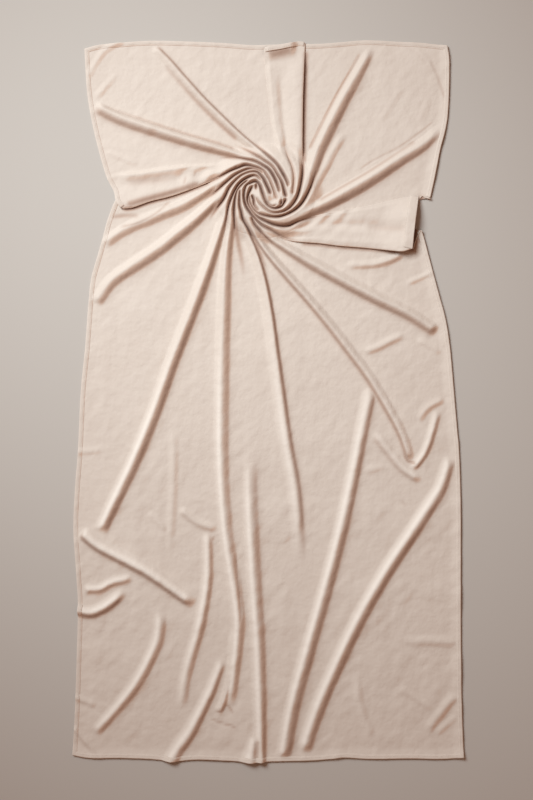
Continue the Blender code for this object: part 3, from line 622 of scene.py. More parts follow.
@dataclass(frozen=True)
class Twist:
    """The spiral of rolls in the middle of the cloth.

    Attributes:
        body: Height of the heap under its rolls, in mm.
        roll: Height of a roll over its creases, in mm.
        half: Half width of a roll, in squares.
        spread: How much wider a roll grows for each half size further out, in squares.
        skirt: Where the heap's slope ends, as a share of its half size.
        dark_to: How far its creases keep their painted shade, as a share of its half size.
    """

    body: float = 12.0
    roll: float = 12.5
    half: float = 3.7
    spread: float = 5.0
    skirt: float = 1.50
    dark_to: float = 1.68

    HANDOVER: ClassVar[tuple[float, float]] = (0.84, 0.38)  # where its rolls start to end, and over how much
    TOP: ClassVar[float] = 0.60  # how far the heap's level top reaches, as a share of its half size
    EASE: ClassVar[float] = 0.45  # share of the half size over which rolls and the painted shade of creases run out
    ENDS: ClassVar[tuple[float, float]] = (5.0, 0.25)  # squares over which a crease runs out, what is left
    BOTTOM: ClassVar[float] = 0.30  # squares over which the bottom of a crease is rounded
    DARK_HALF: ClassVar[float] = 2.9  # half width of a crease's painted shade, in squares

    @staticmethod
    def reach(p: Points) -> np.ndarray:
        """How far out points lie.

        Args:
            p: Grid points.

        Returns:
            0 in the middle of the twist and 1 on its outline.
        """
        return np.hypot((p[:, 0] - TWIST_AT[0]) / TWIST_R[0], (p[:, 1] - TWIST_AT[1]) / TWIST_R[1])

    @staticmethod
    def outside(p: Points) -> np.ndarray:
        """Where the folds that run out of the twist have taken over from its rolls.

        Args:
            p: Grid points.

        Returns:
            0 on the twist, easing to 1 outside it.
        """
        return smooth((Twist.reach(p) - Twist.HANDOVER[0]) / Twist.HANDOVER[1])

    def lift(self, p: Points, height: Heights, dark: np.ndarray) -> None:
        """Adds the twist to the cloth, with painted shade along its creases.

        Args:
            p: Grid points.
            height: Cubed heights so far, added to in place.
            dark: Painted shade, 0 to 1, raised in place along the creases.
        """
        near = np.nonzero(self.reach(p) < self.dark_to)[0]
        if not len(near):
            return
        q = p[near]
        r = self.reach(q)
        half = self.half + self.spread * np.clip(r - 1.0, 0.0, None)
        notch = np.zeros(len(q))
        for crease in CREASES:
            path = Path(crease.line, 1.0)
            off, at, _ = path.nearest(q, 3.0 * self.half)
            gap = np.clip((np.hypot(off, self.BOTTOM) - self.BOTTOM) / half, 0.0, 1.0)
            deep = along_table(crease.depth, at) * path.run_out(at, *self.ENDS)
            notch += (deep * (1.0 - (1.0 - (1.0 - gap) ** 2) ** 0.75)) ** 3
            # painted shade along the crease
            shade = deep * np.clip(1.0 - np.abs(off) / self.DARK_HALF, 0.0, 1.0) ** 1.3
            dark[near] = np.maximum(dark[near], shade * smooth((self.dark_to - r) / self.EASE))
        arch = self.roll * (1.0 - np.minimum(np.cbrt(notch), 1.0)) * smooth((self.skirt - r) / self.EASE)
        dome = self.body * smooth((self.skirt - r) / (self.skirt - self.TOP))
        for (x, y), (a, b), depth in PITS:
            dome -= depth * bell(q[:, 0], x, a) * bell(q[:, 1], y, b)
        height[near] += np.clip(dome + arch, 0.0, None) ** 3


@dataclass
class Lay:
    """How the cloth lies at a set of points.

    Attributes:
        p: Grid points.
        z: Heights in mm of a single layer's top.
        shift: Sideways moves in squares.
        dark: Painted shade at each point, 0 to 1, and below 0 a painted highlight on a fold's crest.
    """

    p: Points
    z: Heights
    shift: Points
    dark: np.ndarray

    def spots(self) -> np.ndarray:
        """Positions in metres.

        Returns:
            Positions, (n, 3).
        """
        x, y = (self.p + self.shift).T
        return np.column_stack([(x - GRID_ORIGIN[0]) * GRID, (GRID_ORIGIN[1] - y) * GRID, self.z * MM])


class ClothForm:
    """Form of the laid cloth anywhere on the grid."""

    BASE = 1.3  # mm from the floor to the top of a single flat layer
    LOWEST = 0.5  # mm over the floor that no crease goes under
    SHADED = 0.3  # painted shade from which a crest's painted highlight gives way to it
    CURL_UP = 3.8  # mm that the lower and right edges lift off the floor
    CURL_IN = 11.0  # squares from the edge over which they lift
    LENGTHS = (120, 90, 74, 60, 48, 38, 30, 24, 19, 15, 12, 10)  # lengths of its ripples in squares
    SETS = 3  # ripples of each length
    LONG = 45.0  # length in squares over which a ripple counts as long
    RIPPLES = (0.0048, 0.0068)  # mm of height of a long and a short ripple, for a length of one square
    RAISED = 0.55  # mm by which the ripples are raised before they are cut off at the floor
    UNEVEN = (0.75, 0.55)  # how strong the ripples are at the top, and how much stronger far down
    UNEVEN_Y = (330.0, 250.0)  # where they start to grow, and over how many squares
    CALM = 1.2  # share of the twist's half size over which the ripples set in beside it

    def __init__(self, seed: int = 7) -> None:
        """Sets up the slight unevenness of the cloth.

        Args:
            seed: Starting number for its directions and phases.
        """
        rng = np.random.default_rng(seed)
        self.twist = Twist()
        lengths = np.array(self.LENGTHS * self.SETS, float)
        turn = rng.uniform(0, math.pi, len(lengths))
        self.waves = np.column_stack([np.cos(turn), np.sin(turn)]) * (2 * math.pi / lengths)[:, None]
        self.phases = rng.uniform(0, 2 * math.pi, len(lengths))
        self.sizes = np.where(lengths > self.LONG, *self.RIPPLES) * lengths ** 0.9

    def lay(self, p: Points) -> Lay:
        """Form of the cloth at points.

        Args:
            p: Grid points.

        Returns:
            How the cloth lies there.
        """
        cubes, dark, painted_highlight = np.zeros((3, len(p)))
        shift = np.zeros((len(p), 2))
        for fold in FOLDS:
            fold.lift(p, cubes, shift, dark, painted_highlight)
        self.twist.lift(p, cubes, dark)
        ripple = (np.sin(p @ self.waves.T + self.phases) * self.sizes).sum(axis=1)
        ripple *= self.UNEVEN[0] + self.UNEVEN[1] * smooth((p[:, 1] - self.UNEVEN_Y[0]) / self.UNEVEN_Y[1])
        calm = smooth((self.twist.reach(p) - 1.0) / self.CALM)
        z = self.BASE + np.cbrt(cubes) + np.clip(ripple + self.RAISED, 0.0, None) * calm
        for edge in ("bottom", "right_lower", "right_upper"):
            gap = np.abs(Path(EDGES[edge]).nearest(p, self.CURL_IN)[0])
            z += self.CURL_UP * smooth(1.0 - gap / self.CURL_IN)
        for pinch in PINCHES:
            pinch.press(p, z, dark)
        # painted shade, less the painted crest highlight where no painted shade lies
        return Lay(p, np.maximum(z, self.LOWEST), shift, dark - painted_highlight * (1.0 - smooth(dark / self.SHADED)))


# --------------------------------------------------------------------------------------- meshes
def place(name: str, data: bpy.types.ID) -> bpy.types.Object:
    """Makes an object and links it to the scene.

    Args:
        name: Name of the object.
        data: Its mesh, light or camera.

    Returns:
        The object.
    """
    obj = bpy.data.objects.new(name, data)
    bpy.context.scene.collection.objects.link(obj)
    return obj


def to_mesh(name: str, bm: bmesh.types.BMesh) -> bpy.types.Mesh:
    """Makes a mesh and frees what it was made from.

    Args:
        name: Name of the mesh.
        bm: Its geometry.

    Returns:
        The mesh.
    """
    mesh = bpy.data.meshes.new(name)
    bm.to_mesh(mesh)
    bm.free()
    return mesh


@dataclass
class Rows:
    """Rows of points that make a sheet.

    Attributes:
        spots: Positions in metres, (rows, columns, 3), from the far edge and from the left.
        dark: Painted shade at each point, below 0 a painted highlight, (rows, columns).
    """

    spots: np.ndarray
    dark: np.ndarray

    NEAR_FLOOR: ClassVar[float] = 0.3  # mm over the floor that a turned edge keeps
    SHADE_FROM: ClassVar[tuple[float, float]] = (1.5, 3.0)  # rows from its start to its painted shade, rows until that shade is full
    LEE_FROM: ClassVar[tuple[float, float]] = (0.07, 0.35)  # slope from which it warms, and over how much
    LEE_DARK: ClassVar[tuple[float, float]] = (0.9, 0.6)  # warmth of a deep crease, and how deep that is
    CURL_STEPS: ClassVar[int] = 7  # rows round a folded edge
    TURNED_BACK: ClassVar[tuple[float, ...]] = (4.8, 12.0)  # mm that the turned layer's rows run back

    @staticmethod
    def of(lay: Lay, rows: int) -> "Rows":
        """Makes rows from laid points.

        Args:
            lay: Points in rows, one row after the other.
            rows: Number of rows.

        Returns:
            The rows.
        """
        return Rows(lay.spots().reshape(rows, -1, 3), lay.dark.reshape(rows, -1))

    def turned(self) -> "Rows":
        """The same rows in the other order.

        Returns:
            The rows.
        """
        return Rows(self.spots[::-1], self.dark[::-1])

    def curled(self, radius: float) -> "Rows":
        """Turns the last row over and under, as a folded edge, with painted shade on the rows that turn under.

        Args:
            radius: Radius of the fold in mm.

        Returns:
            The rows with those of the turned edge added.
        """
        edge, way = self.spots[-1], (self.spots[-1] - self.spots[-4])[:, :2]
        way = way / np.maximum(np.linalg.norm(way, axis=1), 1e-9)[:, None]
        r = np.minimum(radius * MM, np.maximum(edge[:, 2] - self.NEAR_FLOOR * MM, 0.2 * MM) / 2.0)
        turns = [math.pi * k / self.CURL_STEPS for k in range(1, self.CURL_STEPS + 1)]
        added = [(r * math.sin(a), r * (1 - math.cos(a))) for a in turns]
        added += [(np.full(len(r), -back * MM), 2 * r) for back in self.TURNED_BACK]
        rows = [np.column_stack([edge[:, :2] + way * out[:, None], edge[:, 2] - down])[None]
                for out, down in added]
        # painted shade on the rows that turn under
        shade = smooth((np.arange(len(rows)) - self.SHADE_FROM[0]) / self.SHADE_FROM[1])
        shade = np.repeat(shade[:, None], len(r), axis=1)
        return Rows(np.concatenate([self.spots, *rows]), np.concatenate([self.dark, shade]))

    def lee(self) -> np.ndarray:
        """Where the cloth turns away from the key light and is lit by the cloth around it.

        Returns:
            0 to 1, (rows, columns).
        """
        normal = np.cross(np.gradient(self.spots, axis=0), np.gradient(self.spots, axis=1))
        size = np.maximum(np.linalg.norm(normal, axis=2), 1e-12)[..., None]
        normal *= np.where(normal[..., 2:] < 0.0, -1.0, 1.0) / size
        away = smooth((normal @ LEE - self.LEE_FROM[0]) / self.LEE_FROM[1])
        return np.maximum(away, self.LEE_DARK[0] * smooth(self.dark / self.LEE_DARK[1]))

    def mesh(self, name: str) -> bpy.types.Object:
        """Makes a smooth object by bending a grid onto the rows.

        Args:
            name: Name of the object.

        Returns:
            The object, linked to the scene.
        """
        rows, columns = self.spots.shape[0] - 1, self.spots.shape[1] - 1
        bm = bmesh.new()
        bmesh.ops.create_grid(bm, x_segments=columns, y_segments=rows, size=1.0)
        mesh = to_mesh(name, bm)
        flat = np.empty(len(mesh.vertices) * 3)
        mesh.vertices.foreach_get("co", flat)
        flat = flat.reshape(-1, 3)
        column = np.rint((flat[:, 0] + 1.0) / 2.0 * columns).astype(int)
        row = rows - np.rint((flat[:, 1] + 1.0) / 2.0 * rows).astype(int)
        mesh.vertices.foreach_set("co", self.spots[row, column].ravel())
        mesh.polygons.foreach_set("use_smooth", [True] * len(mesh.polygons))
        # crease carries painted shade, and below 0 a painted highlight
        for label, values in (("crease", self.dark), ("lee", self.lee())):
            attribute = mesh.attributes.new(label, "FLOAT", "POINT")
            attribute.data.foreach_set("value", values[row, column].astype(np.float32))
        mesh.update()
        return place(name, mesh)


def coons(top: Path, bottom: Path, left: Path, right: Path, u: np.ndarray, v: np.ndarray) -> np.ndarray:
    """Fills four edges with a patch of grid points.

    Args:
        top: Upper edge, left to right.
        bottom: Lower edge, left to right.
        left: Left edge, top to bottom.
        right: Right edge, top to bottom.
        u: Shares across.
        v: Shares down.

    Returns:
        Grid points, (rows, columns, 2).
    """
    t, b = top.at(u)[None], bottom.at(u)[None]
    l, r = left.at(v)[:, None], right.at(v)[:, None]
    a, c = u[None, :, None], v[:, None, None]
    corners = (1 - c) * ((1 - a) * t[:, :1] + a * t[:, -1:]) + c * ((1 - a) * b[:, :1] + a * b[:, -1:])
    return (1 - c) * t + c * b + (1 - a) * l + a * r - corners


# --------------------------------------------------------------------------------------- finishes
@dataclass(frozen=True)
class Relief:
    """One layer of the cloth's fine relief.

    Attributes:
        texture: Kind of texture node that it is made from.
        settings: The texture's settings.
        strength: Strength of the bump.
        distance: Height of the bump in metres.
    """

    texture: str
    settings: dict[str, float]
    strength: float
    distance: float


@dataclass(frozen=True)
class JerseyFinish:
    """Knit jersey.

    Attributes:
        name: Name of the material.
        color: Linear base colour.
        shade: Linear colour of its darker flecks.
        crease: Linear colour of the painted shade in creases, at fold feet, under turned edges and beside
            other layers.
        painted_shade_share: How far the deepest painted shade takes on that colour.
        painted_highlight: Linear colour of the painted highlight on the lit crests of folds in the lower half.
        lee: Linear colour where light bounced off the cloth around it warms the cloth.
        roughness: Roughness of the cloth.
        specular: Strength of its mirror-like reflection.
        sheen: Weight of its soft sheen.
        sheen_roughness: Roughness of that sheen.
    """

    name: str = "jersey"
    color: tuple[float, float, float] = (0.735, 0.635, 0.550)
    shade: tuple[float, float, float] = (0.690, 0.585, 0.500)
    crease: tuple[float, float, float] = (0.18, 0.075, 0.045)
    painted_shade_share: float = 0.95
    painted_highlight: tuple[float, float, float] = (0.94, 0.85, 0.76)
    lee: tuple[float, float, float] = (0.735, 0.535, 0.415)
    roughness: float = 0.80
    specular: float = 0.30
    sheen: float = 0.14
    sheen_roughness: float = 0.45

    MOTTLE: ClassVar[dict[str, float]] = {"Scale": 9.0, "Detail": 4.0}
    RELIEFS: ClassVar[tuple[Relief, ...]] = (
        Relief("ShaderNodeTexNoise", {"Scale": 62.0, "Detail": 4.0}, 0.50, 0.0034),  # crumple
        Relief("ShaderNodeTexNoise", {"Scale": 210.0, "Detail": 2.0}, 0.26, 0.0008),  # grain
        Relief("ShaderNodeTexWave", {"Scale": 420.0, "Distortion": 3.0}, 0.12, 0.0003),  # rows of the knit
    )

    def relief_group(self) -> bpy.types.NodeTree:
        """Builds the node group that gives the knit's bump and mottling.

        Returns:
            Group with a Mottle value and a Normal.
        """
        group = bpy.data.node_groups.new("knit_relief", "ShaderNodeTree")
        for name, way, kind in (("Vector", "INPUT", "Vector"), ("Mottle", "OUTPUT", "Float"),
                                ("Normal", "OUTPUT", "Vector")):
            group.interface.new_socket(name, in_out=way, socket_type="NodeSocket" + kind)
        nodes, links = group.nodes, group.links
        enter, leave = nodes.new("NodeGroupInput"), nodes.new("NodeGroupOutput")

        def texture(kind: str, settings: dict[str, float]) -> bpy.types.NodeSocket:
            """Adds a texture.

            Args:
                kind: Kind of node.
                settings: Its settings.

            Returns:
                Its value.
            """
            node = nodes.new(kind)
            for name, value in settings.items():
                node.inputs[name].default_value = value
            links.new(enter.outputs["Vector"], node.inputs["Vector"])
            return node.outputs["Fac"]

        below = None
        for relief in self.RELIEFS:
            bump = nodes.new("ShaderNodeBump")
            bump.inputs["Strength"].default_value = relief.strength
            bump.inputs["Distance"].default_value = relief.distance
            links.new(texture(relief.texture, relief.settings), bump.inputs["Height"])
            if below:
                links.new(below.outputs["Normal"], bump.inputs["Normal"])
            below = bump
        links.new(below.outputs["Normal"], leave.inputs["Normal"])
        links.new(texture("ShaderNodeTexNoise", self.MOTTLE), leave.inputs["Mottle"])
        return group

    def build(self) -> bpy.types.Material:
        """Builds the material.

        Returns:
            The material.
        """
        made = bpy.data.materials.new(self.name)
        made.use_nodes = True
        nodes, links = made.node_tree.nodes, made.node_tree.links
        shader = nodes["Principled BSDF"]
        where = nodes.new("ShaderNodeTexCoord")
        relief = nodes.new("ShaderNodeGroup")
        relief.node_tree = self.relief_group()
        links.new(where.outputs["Object"], relief.inputs["Vector"])

        def scaled(label: str, by: float) -> bpy.types.NodeSocket:
            """Adds a value that the mesh carries, scaled.

            Args:
                label: Name of the value.
                by: What it is multiplied by.

            Returns:
                The scaled value.
            """
            source, times = nodes.new("ShaderNodeAttribute"), nodes.new("ShaderNodeMath")
            source.attribute_name, times.operation = label, "MULTIPLY"
            times.inputs[1].default_value = by
            links.new(source.outputs["Fac"], times.inputs[0])
            return times.outputs["Value"]

        # mottled own colour, then the lee colour, painted shade from the crease value, and a painted highlight
        # where it is below 0
        below = None
        for amount, color in (
            (relief.outputs["Mottle"], self.color),
            (scaled("lee", 1.0), self.lee),
            (scaled("crease", self.painted_shade_share), self.crease),
            (scaled("crease", -1.0), self.painted_highlight),
        ):
            laid = nodes.new("ShaderNodeMix")
            laid.data_type = "RGBA"
            laid.inputs["A"].default_value = (*self.shade, 1.0)
            laid.inputs["B"].default_value = (*color, 1.0)
            links.new(amount, laid.inputs["Factor"])
            if below:
                links.new(below.outputs["Result"], laid.inputs["A"])
            below = laid
        links.new(below.outputs["Result"], shader.inputs["Base Color"])
        links.new(relief.outputs["Normal"], shader.inputs["Normal"])
        for name, value in (("Roughness", self.roughness), ("Specular IOR Level", self.specular),
                            ("Sheen Weight", self.sheen), ("Sheen Roughness", self.sheen_roughness)):
            shader.inputs[name].default_value = value
        return made


@dataclass(frozen=True)
class FloorFinish:
    """Plain matt studio floor.

    Attributes:
        name: Name of the material.
        color: Linear colour.
        roughness: Roughness of the floor.
        specular: Strength of its mirror-like reflection.
    """

    name: str = "studio_floor"
    color: tuple[float, float, float] = (0.55, 0.50, 0.45)
    roughness: float = 0.9
    specular: float = 0.15

    def build(self) -> bpy.types.Material:
        """Builds the material.

        Returns:
            The material.
        """
        made = bpy.data.materials.new(self.name)
        made.use_nodes = True
        shader = made.node_tree.nodes["Principled BSDF"]
        shader.inputs["Base Color"].default_value = (*self.color, 1.0)
        shader.inputs["Roughness"].default_value = self.roughness
        shader.inputs["Specular IOR Level"].default_value = self.specular
        return made


# --------------------------------------------------------------------------------------- parts of the hijab
@dataclass
class Part:
    """One visual piece and what it stands for.

    Attributes:
        obj: The object.
        nodes: CAD nodes that it replaces.
    """

    obj: bpy.types.Object
    nodes: tuple[str, ...]


@dataclass(frozen=True)
class PanelSizes:
    """Sizes of a flat-lying panel.

    Attributes:
        columns: Grid cells across.
        rows: Grid cells down.
        tuck: How far a sheet's edge lies inside its hem, in squares.
        bunch: Power that draws its rows towards the twist, 1 for even rows.
    """

    columns: int
    rows: int
    tuck: float = 1.6
    bunch: float = 1.0


class Panel:
    """A panel that lies flat but for its folds."""

    NAME = "panel"
    NODES: tuple[str, ...] = ()
    CURL = 0.0  # mm radius of its folded lower edge, 0 for a plain one

    def __init__(self, form: ClothForm, sizes: PanelSizes) -> None:
        """Keeps the form and sizes.

        Args:
            form: Form of the cloth.
            sizes: Mesh sizes.
        """
        self.form, self.sizes = form, sizes

    def edges(self) -> tuple[Line, Line, Line, Line]:
        """Edges of the panel.

        Returns:
            Upper and lower edge from left to right, left and right edge from top to bottom.
        """
        raise NotImplementedError

    def lay(self, p: Points) -> Lay:
        """How the panel lies.

        Args:
            p: Grid points.

        Returns:
            Its form there.
        """
        return self.form.lay(p)

    def build(self) -> Part:
        """Builds the panel.

        Returns:
            The panel.
        """
        u = np.linspace(0, 1, self.sizes.columns + 1)
        v = np.linspace(0, 1, self.sizes.rows + 1) ** self.sizes.bunch
        lay = self.lay(coons(*(Path(line) for line in self.edges()), u, v).reshape(-1, 2))
        lay.z = np.maximum(Rosette.FLOOR, lay.z - Rosette.sink(lay.p))
        rows = Rows.of(lay, self.sizes.rows + 1)
        if self.CURL:
            rows = rows.curled(self.CURL)
        return Part(rows.mesh(self.NAME), self.NODES)

    def inside(self, edge: str, x: float, y: float) -> list[tuple[float, float]]:
        """Points of an outer edge without its ends, moved in under the hem.

        Args:
            edge: Name of the edge.
            x: Direction of the move across, -1 to 1.
            y: Direction of the move down, -1 to 1.

        Returns:
            The moved points.
        """
        return [(a + x * self.sizes.tuck, b + y * self.sizes.tuck) for a, b in EDGES[edge][1:-1]]


class LowerPanel(Panel):
    """The long panel below the twist."""

    NAME = "panel_lower_cloth"
    NODES = ("panel_lower",)

    def edges(self) -> tuple[Line, Line, Line, Line]:
        """Edges of the panel, the upper one hidden under the pleats and the twist.

        Returns:
            Upper and lower edge from left to right, left and right edge from top to bottom.
        """
        start, notch, right_corner, left_corner = (116, 199), (420.0, 231.0), (461.8, 755.3), (74.3, 752.8)
        top = [start, (150, 188), (200, 178), (240, 186), (280, 206), (320, 226), (360, 229), (400, 229.5),
               (410, 229.6), (415.5, 229.6), notch]
        right = [notch, *self.inside("right_lower", -1, 0), right_corner]
        bottom = [left_corner, *self.inside("bottom", 0, -1)[::-1], right_corner]
        left = [start, *self.inside("left_lower", 1, 0)[::-1], left_corner]
        return top, bottom, left, right


class UpperLeftPanel(Panel):
    """The panel left of the top pleat, folded under along its lower edge to make the left pleat."""

    NAME = "panel_upper_left_cloth"
    NODES = ("panel_upper_left", "pleat_left")
    CURL = 2.0
    RISE = 7.0  # mm that the folded edge stands over the cloth below
    RIDGE = (1.2, 4.2)  # mm of the ridge along the soft line at its left end, and how much more further in
    PUCKER = 1.3  # mm of the puckers beside the twist
    DROP = 2.4  # mm that the very edge bends down

    def edges(self) -> tuple[Line, Line, Line, Line]:
        """Edges of the panel, the right one hidden under the top pleat.

        Returns:
            Upper and lower edge from left to right, left and right edge from top to bottom.
        """
        corner, meet, end = (86.2, 50.6), (283, 47.5), (286, 190)
        left = [(122.6, 208.2), *self.inside("left_upper", 1, 0), corner][::-1]
        right = [meet, (286, 90), (289, 130), (291, 165), end]
        return [corner, *self.inside("top_left", 0, 1), meet], [(122.6, 208.2), *LEFT_FOLD[1:]], left, right

    def lay(self, p: Points) -> Lay:
        """How the panel lies, with its pleat between the soft line and the fold.

        Args:
            p: Grid points.

        Returns:
            Its form there.
        """
        lay = self.form.lay(p)
        x, y = p.T
        near, far = Path(LEFT_SOFT).nearest(p)[0], Path(LEFT_FOLD).nearest(p)[0]
        share = np.clip(near / np.maximum(near - np.minimum(far, 0.0), 1e-6), 0.0, 1.0) * (near > 0)
        outer = smooth((Twist.reach(p) - 1.26) / 0.3) * (near > -12)
        along = smooth((x - 116.0) / 14.0) * (1.0 - 0.5 * smooth((x - 176.0) / 20.0))
        ridge = (self.RIDGE[0] + self.RIDGE[1] * along) * bell(near, 0.0, np.where(near < 0, 2.2, 6.0))
        pucker = self.PUCKER * np.sin((x + 0.4 * y) / 3.4) * smooth((x - 172.0) / 14.0) * smooth(near / 3.0)
        lump = self.RISE * smooth(share * 1.1 - 0.12) + ridge + pucker * smooth((30.0 - near) / 20.0)
        lay.z = lay.z + np.clip(lump - self.DROP * bell(far, 0.0, 3.0), -0.9, None) * outer
        return lay


class UpperRightPanel(Panel):
    """The panel right of the top pleat."""

    NAME = "panel_upper_right_cloth"
    NODES = ("panel_upper_right",)

    def edges(self) -> tuple[Line, Line, Line, Line]:
        """Edges of the panel, the left one hidden under the top pleat, the lower one under the right pleat.

        Returns:
            Upper and lower edge from left to right, left and right edge from top to bottom.
        """
        meet, corner, notch, end = (285, 46), (445.4, 47.6), (428.6, 198.2), (283, 215)
        top = [meet, (304, 45.8), *self.inside("top_right", 0, 1), corner]
        right = [corner, *self.inside("right_upper", -1, 0), notch]
        bottom = [end, (300, 231), (340, 224), (380, 214), (404, 207), (415, 204), (419, 200.5), (424, 199),
                  notch]
        left = [meet, (291, 90), (294, 130), (292, 170), end]
        return top, bottom, left, right


@dataclass(frozen=True)
class PleatSizes:
    """Sizes of a pleat that lies on the cloth.

    Attributes:
        rise: How far its top stands over the cloth, in mm.
        curl: Radius of its folded edges, in mm.
        along: Grid cells along it.
        across: Grid cells across it.
    """

    rise: float
    curl: float
    along: int
    across: int


class Pleat:
    """A pleat with both long edges folded under."""

    OWN = (1.28, 0.35)  # where it rises out of the twist, and over how much of the twist's half size
    OVER = 0.3  # mm that it lies over the cloth inside that
    HEM_IN = 0.009  # share of its length that its hem covers

    def __init__(self, name: str, node: str, form: ClothForm, sizes: PleatSizes, first: Line, second: Line,
                 surface: Callable[[np.ndarray, np.ndarray], np.ndarray]) -> None:
        """Keeps what the pleat is made from.

        Args:
            name: Name of the piece.
            node: CAD node it replaces.
            form: Form of the cloth.
            sizes: Sizes of the pleat.
            first: Long edge on its left, from its hem to the twist.
            second: Long edge on its right, from its hem to the twist.
            surface: Extra height in mm from shares across and along.
        """
        self.name, self.node, self.form, self.sizes, self.surface = name, node, form, sizes, surface
        self.first, self.second = Path(first), Path(second)

    def lay(self, p: Points, across: np.ndarray, along: np.ndarray) -> Lay:
        """How the pleat's top lies.

        Args:
            p: Grid points.
            across: Share across the pleat.
            along: Share along the pleat.

        Returns:
            Its form there.
        """
        lay = self.form.lay(p)
        own = smooth((Twist.reach(p) - self.OWN[0]) / self.OWN[1])
        lay.z = lay.z + (self.sizes.rise + self.surface(across, along)) * own + self.OVER * (1 - own)
        return lay

    def end_lay(self, p: Points) -> Lay:
        """How the pleat lies along its hem.

        Args:
            p: Grid points near the hem.

        Returns:
            Its form there.
        """
        a, b = self.first.points[0], self.second.points[0]
        return self.lay(p, np.clip((p - a) @ (b - a) / ((b - a) @ (b - a)), 0.0, 1.0), np.zeros(len(p)))

    def build(self) -> Part:
        """Builds the pleat.

        Returns:
            The pleat.
        """
        s = self.sizes
        along, across = np.linspace(self.HEM_IN, 1, s.along + 1), np.linspace(0, 1, s.across + 1)
        a, b = self.first.at(along)[None], self.second.at(along)[None]
        p = (a + (b - a) * across[:, None, None]).reshape(-1, 2)
        lay = self.lay(p, np.repeat(across, s.along + 1), np.tile(along, s.across + 1))
        lay.z = np.maximum(Rosette.FLOOR, lay.z - Rosette.sink(p))
        rows = Rows.of(lay, s.across + 1).curled(s.curl).turned().curled(s.curl).turned()
        return Part(rows.mesh(self.name), (self.node,))


class Rosette:
    """The twisted rolls, a sheet of their own that lies over the ends of the panels."""

    CELLS = 310  # grid cells each way
    EDGE = 1.30  # its outline, as a share of the twist's half size
    RIM = 1.235  # where its rim starts to go down
    OVER = 0.25  # mm that it lies over the form of the cloth
    DROP = 0.85  # mm that its rim goes down
    SINK = 8.0  # mm that the panels and pleats go down under it
    SINK_FROM, SINK_OVER = 1.265, 0.13  # where they start to, and over how much of the half size
    FLOOR = 0.4  # mm over the floor that they don't go under

    def __init__(self, form: ClothForm) -> None:
        """Keeps the form.

        Args:
            form: Form of the cloth.
        """
        self.form = form

    @staticmethod
    def sink(p: Points) -> Heights:
        """How far the panels and pleats go down to run in under the rosette.

        Args:
            p: Grid points.

        Returns:
            Depth in mm.
        """
        return Rosette.SINK * smooth((Rosette.SINK_FROM - Twist.reach(p)) / Rosette.SINK_OVER)

    def build(self) -> Part:
        """Builds the rosette.

        Returns:
            The rosette.
        """
        t = np.linspace(-1, 1, self.CELLS + 1)
        x, y = np.meshgrid(t, t)
        disc = np.stack([x * np.sqrt(1 - y * y / 2), y * np.sqrt(1 - x * x / 2)], axis=-1)
        lay = self.form.lay((disc * np.array(TWIST_R) * self.EDGE + np.array(TWIST_AT)).reshape(-1, 2))
        rim = smooth((Twist.reach(lay.p) - self.RIM) / (self.EDGE - self.RIM))
        lay.z = lay.z + self.OVER - self.DROP * rim
        return Part(Rows.of(lay, self.CELLS + 1).mesh("rosette_rolls"), ("rosette",))


@dataclass(frozen=True)
class HemSection:
    """Section of a finished edge.

    Attributes:
        inwards: Distance of each of its points from the edge, in mm.
        up: Height of each point over the top of a single layer, in mm.
    """

    inwards: tuple[float, ...]
    up: tuple[float, ...]


class HemKind(Enum):
    """Ways in which an edge is finished."""

    NARROW = HemSection(
        inwards=(0.5, 0.0, 0.0, 0.5, 1.4, 3.0, 4.4, 5.6, 6.8, 8.2, 9.6, 9.0),
        up=(-0.9, -0.3, 0.5, 1.0, 1.2, 1.15, 0.95, 0.85, 0.70, 0.35, -0.15, -0.9),
    )
    WIDE = HemSection(
        inwards=(0.5, 0.0, 0.0, 0.5, 1.4, 4.0, 8.0, 12.0, 15.0, 17.0, 18.2, 17.4),
        up=(-0.9, -0.3, 0.5, 1.0, 1.2, 1.2, 1.15, 1.15, 1.05, 0.6, -0.1, -0.9),
    )
    ROLLED = HemSection(
        inwards=(0.0, 0.1, 0.5, 1.2, 1.9, 2.3, 2.4),
        up=(-0.9, 1.0, 2.1, 2.6, 2.1, 1.0, -0.9),
    )


